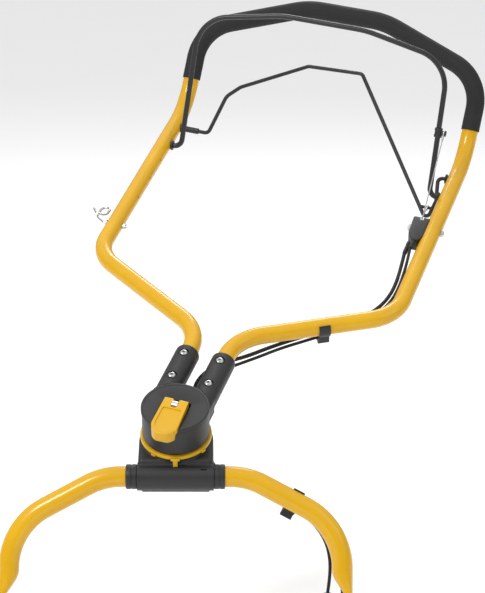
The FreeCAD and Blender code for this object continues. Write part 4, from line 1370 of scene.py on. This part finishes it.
@dataclass
class Cable:
    """One sheathed cable, clipped to the handle from its bail's bracket to its connector."""

    name: str
    radius: float
    upper: list[Point]
    loop: list[Point]
    lower: list[Point]
    bench: Bench
    line: list[Vector] = field(default_factory=list)

    def _trace(self, hub: Place, saddle: Place, legs: Place) -> None:
        """Read the cable's line from one smooth spline through its whole route.

        Args:
            hub: The hub's frame.
            saddle: The saddle's frame.
            legs: The legs' frame.
        """
        route = [hub.at(p) for p in self.upper] + [saddle.at(p) for p in self.loop]
        route += [legs.at(p) for p in self.lower]
        curve = bpy.data.curves.new("route", "CURVE")
        curve.dimensions = "3D"
        spline = curve.splines.new("NURBS")
        spline.points.add(len(route) - 1)
        for target, source in zip(spline.points, route):
            target.co = (*source, 1.0)
        spline.order_u, spline.use_endpoint_u, spline.resolution_u = 3, True, 10
        holder = bpy.data.objects.new("route", curve)
        mesh = bpy.data.meshes.new_from_object(holder)
        self.line = [v.co.copy() for v in mesh.vertices]
        bpy.data.objects.remove(holder)

    def _nearest(self, point: Vector) -> int:
        """The line's sample that is nearest to a point."""
        return min(range(len(self.line)), key=lambda i: (self.line[i] - point).length)

    def _stretch(self, first: int, last: int, name: str, stands_for: Optional[str]) -> bpy.types.Object:
        """Make one stretch of the cable as its own piece, in the object's frame.

        Args:
            first: Its first sample on the line.
            last: Its last sample.
            name: What the stretch is called.
            stands_for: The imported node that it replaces.

        Returns:
            The stretch.
        """
        tube = self.bench.bar([p / MM for p in self.line[first:last + 1]], self.radius, 6)
        bpy.ops.object.shade_smooth()
        tube.name = f"{self.name}_sheath_{name}"
        self.bench.palette.dress(tube, Slot.CABLE_JACKET)
        if stands_for:
            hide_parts(stands_for)
        LOG.info("%s: %d faces", tube.name, len(tube.data.polygons))
        return tube

    def build(self, hub: Place, saddle: Place, legs: Place) -> None:
        """Make the cable in four stretches; the first rides on the upper handle, the last on the lower one, and
        the two between are left in place on no body.

        Args:
            hub: The hub's frame.
            saddle: The saddle's frame.
            legs: The legs' frame.
        """
        self._trace(hub, saddle, legs)
        leave = self._nearest(hub.at(self.upper[-1]))
        middle = self._nearest(saddle.at(self.loop[1]))
        arrive = self._nearest(legs.at(self.lower[1]))
        end = len(self.line) - 1
        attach(self._stretch(0, leave, "upper", f"{self.name}_cable_upper"), Body.UPPER.value)
        swivel = self._stretch(leave, middle, "swivel", f"{self.name}_cable_loop")
        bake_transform(swivel)
        fold = self._stretch(middle, arrive, "fold", None)
        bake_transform(fold)
        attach(self._stretch(arrive, end, "lower", f"{self.name}_cable_lower"), Body.LOWER.value)


BRAKE_UPPER = [(206.2, 437.5, 5.5), (209, 410, -1), (210, 378, -7), (209, 350, -11),
               (204, 328, -15), (193, 306, -18), (176, 284, -19), (155, 262, -19.5),
               (134, 238.5, -18.5), (106, 215, -20), (82, 195, -22), (60, 174, -25),
               (40, 157, -28), (20, 140, -30.5), (3, 123, -32.5), (-4, 104, -36), (-5, 87, -40),
               (-4, 75, -45.5), (-1, 66, -51), (6, 60, -57)]
DRIVE_UPPER = [(198.2, 437.5, -6.5), (201, 408, -9), (203, 376, -12), (201, 348, -15),
               (194, 326, -18), (183, 306, -20), (167, 288, -20), (148, 268, -19), (130, 247, -18),
               (112, 229, -17), (88, 208, -18), (66, 188, -20), (46, 168, -22), (26, 152, -23),
               (9, 136, -24), (-1, 119, -25.5), (-6, 104, -28), (-6, 90, -31.5), (0, 78, -36.5),
               (7, 70, -43), (14, 64, -50)]
BRAKE_LOOP = [(33, 91.5, -7), (38, 80, -22.5), (44, 62, -33), (56, 42, -36), (76, 27, -36)]
DRIVE_LOOP = [(41, 91, 0), (45, 79, -15), (46, 66, -25.5), (48, 52, -28.5), (60, 40, -28),
              (78, 33, -26.5)]
BRAKE_LOWER = [(104, -14, -36), (124, -27, -25), (142.5, -38.6, -18.5), (160, -47.6, -17.5),
               (177, -57.2, -17.5), (191, -72, -17), (201, -89, -15), (205.5, -107, -14),
               (206.5, -124, -13.5), (205, -142, -13), (203, -156, -13)]
DRIVE_LOWER = [(104, -2, -36), (124, -20, -31), (140.8, -38, -26), (160, -49.1, -25),
               (177, -58, -24.5), (192, -70, -24), (206, -87, -23), (214.5, -107, -22),
               (218, -127, -22.5), (222.5, -146, -24), (224, -158, -24)]
UPPER_HELD = 8             # the routes' points in the two clips
LOWER_HELD = 3


# ---------------------------------------------------------------- studio

@dataclass
class Studio:
    """Pale floor, soft lights and the camera."""

    lens: float = 124.7
    eye: Point = (0.0923, -2.5241, 1.1474)
    view: Point = (-0.0012, 0.9666, -0.2564)
    floor_half: float = 40.0
    floor_gap: float = 0.002
    sky_strength: tuple[float, float] = (0.22, 1.15)

    def floor(self) -> None:
        """A wide pale floor just under the object."""
        bpy.ops.object.select_all(action="DESELECT")
        low = CAD_BOX[0].z - self.floor_gap
        bpy.ops.mesh.primitive_plane_add(size=2 * self.floor_half, location=(0, 0, low))
        plane = bpy.context.view_layer.objects.active
        plane.name = "floor"
        material = bpy.data.materials.new("pale_floor")
        graph = Graph(material)
        cloudy = graph.noise(graph.where(), 1.5, 2.0)
        graph.feed(graph.shader.inputs["Base Color"],
                   graph.mix(cloudy, (0.94, 0.94, 0.94, 1.0), (0.96, 0.96, 0.96, 1.0)))
        graph.feed(graph.shader.inputs["Roughness"], 0.75)
        plane.data.materials.append(material)

    @staticmethod
    def light(name: str, place: Point, aim: Point, size: float, power: float) -> None:
        """Add one soft area light.

        Args:
            name: Its name.
            place: Where it hangs.
            aim: The point that it faces.
            size: Its diameter, in metres.
            power: Its power, in watts.
        """
        lamp = bpy.data.lights.new(name, "AREA")
        lamp.shape, lamp.size, lamp.energy = "DISK", size, power
        holder = bpy.data.objects.new(name, lamp)
        holder.location = place
        holder.rotation_euler = (Vector(aim) - Vector(place)).to_track_quat("-Z", "Y").to_euler()
        bpy.context.scene.collection.objects.link(holder)

    def sky(self) -> None:
        """Soft white surroundings, brighter overhead than at the horizon."""
        world = bpy.data.worlds.new("surroundings")
        world.use_nodes = True
        tree = world.node_tree
        place = tree.nodes.new("ShaderNodeTexCoord")
        height = tree.nodes.new("ShaderNodeSeparateXYZ")
        strength = tree.nodes.new("ShaderNodeMapRange")
        strength.inputs["To Min"].default_value, strength.inputs["To Max"].default_value = self.sky_strength
        tree.nodes["Background"].inputs["Color"].default_value = (1.0, 1.0, 1.0, 1.0)
        tree.links.new(place.outputs["Generated"], height.inputs[0])
        tree.links.new(height.outputs["Z"], strength.inputs["Value"])
        tree.links.new(strength.outputs[0], tree.nodes["Background"].inputs["Strength"])
        bpy.context.scene.world = world

    def camera(self) -> None:
        """The camera, level across the view."""
        data = bpy.data.cameras.new("camera")
        data.lens, data.clip_end = self.lens, 200.0
        holder = bpy.data.objects.new("camera", data)
        holder.location = self.eye
        holder.rotation_euler = Vector(self.view).to_track_quat("-Z", "Y").to_euler()
        bpy.context.scene.collection.objects.link(holder)
        bpy.context.scene.camera = holder

    def build(self) -> None:
        """Set the whole stage."""
        bpy.context.scene.view_settings.view_transform = "Standard"
        self.floor()
        self.sky()
        self.camera()
        aim = (0.1, 0.35, 0.45)
        self.light("key", (-1.8, -1.6, 2.8), aim, 1.1, 62.0)
        self.light("fill", (2.4, -1.0, 1.8), aim, 1.8, 8.0)
        self.light("back", (0.4, 2.6, 2.4), aim, 1.4, 30.0)


def main() -> None:
    """Build the looks, piece by piece."""
    logging.basicConfig(level=logging.INFO, format="%(message)s")
    palette = Palette()
    palette.dress_frame()
    Studio().build()
    hub, saddle, legs = places()
    Hub(Bench(hub, palette)).build()
    Saddle(Bench(saddle, palette), Bench(Place(hub.origin, saddle.across, saddle.along, saddle.up),
                                         palette)).build()
    UpperHandle(Bench(hub, palette)).build()
    LowerHandle(Bench(legs, palette)).build()
    Bails(hub, palette).build()
    Clip("upper_clip", Body.UPPER, hub, palette, (134, 172 + 108 * 118 / 199, 0), (199, 118, 0), UPPER_TUBE,
         ((BRAKE_UPPER[UPPER_HELD], BRAKE_SHEATH), (DRIVE_UPPER[UPPER_HELD], DRIVE_SHEATH)),
         ((-7, -25.5), (17.5, -7)), (-30, 136)).build()
    Clip("lower_clip", Body.LOWER, legs, palette, (158, -62 * 67 / 126, 0), (126, -67, 0), LOWER_TUBE,
         ((BRAKE_LOWER[LOWER_HELD], BRAKE_SHEATH), (DRIVE_LOWER[LOWER_HELD], DRIVE_SHEATH)),
         ((-25.5, -30.5), (-7, -12)), (8, 172)).build()
    Connector("brake", Bench(legs, palette), BRAKE_LOWER[-1], 10.5).build()
    Connector("drive", Bench(legs, palette), DRIVE_LOWER[-1], 9.5).build()
    whole = Place(Vector(), Vector((1, 0, 0)), Vector((0, 1, 0)), Vector((0, 0, 1)))
    flat = Bench(whole, palette)
    Cable("brake", BRAKE_SHEATH, BRAKE_UPPER, BRAKE_LOOP, BRAKE_LOWER, flat).build(hub, saddle, legs)
    Cable("drive", DRIVE_SHEATH, DRIVE_UPPER, DRIVE_LOOP, DRIVE_LOWER, flat).build(hub, saddle, legs)


if __name__ == "__main__":
    main()
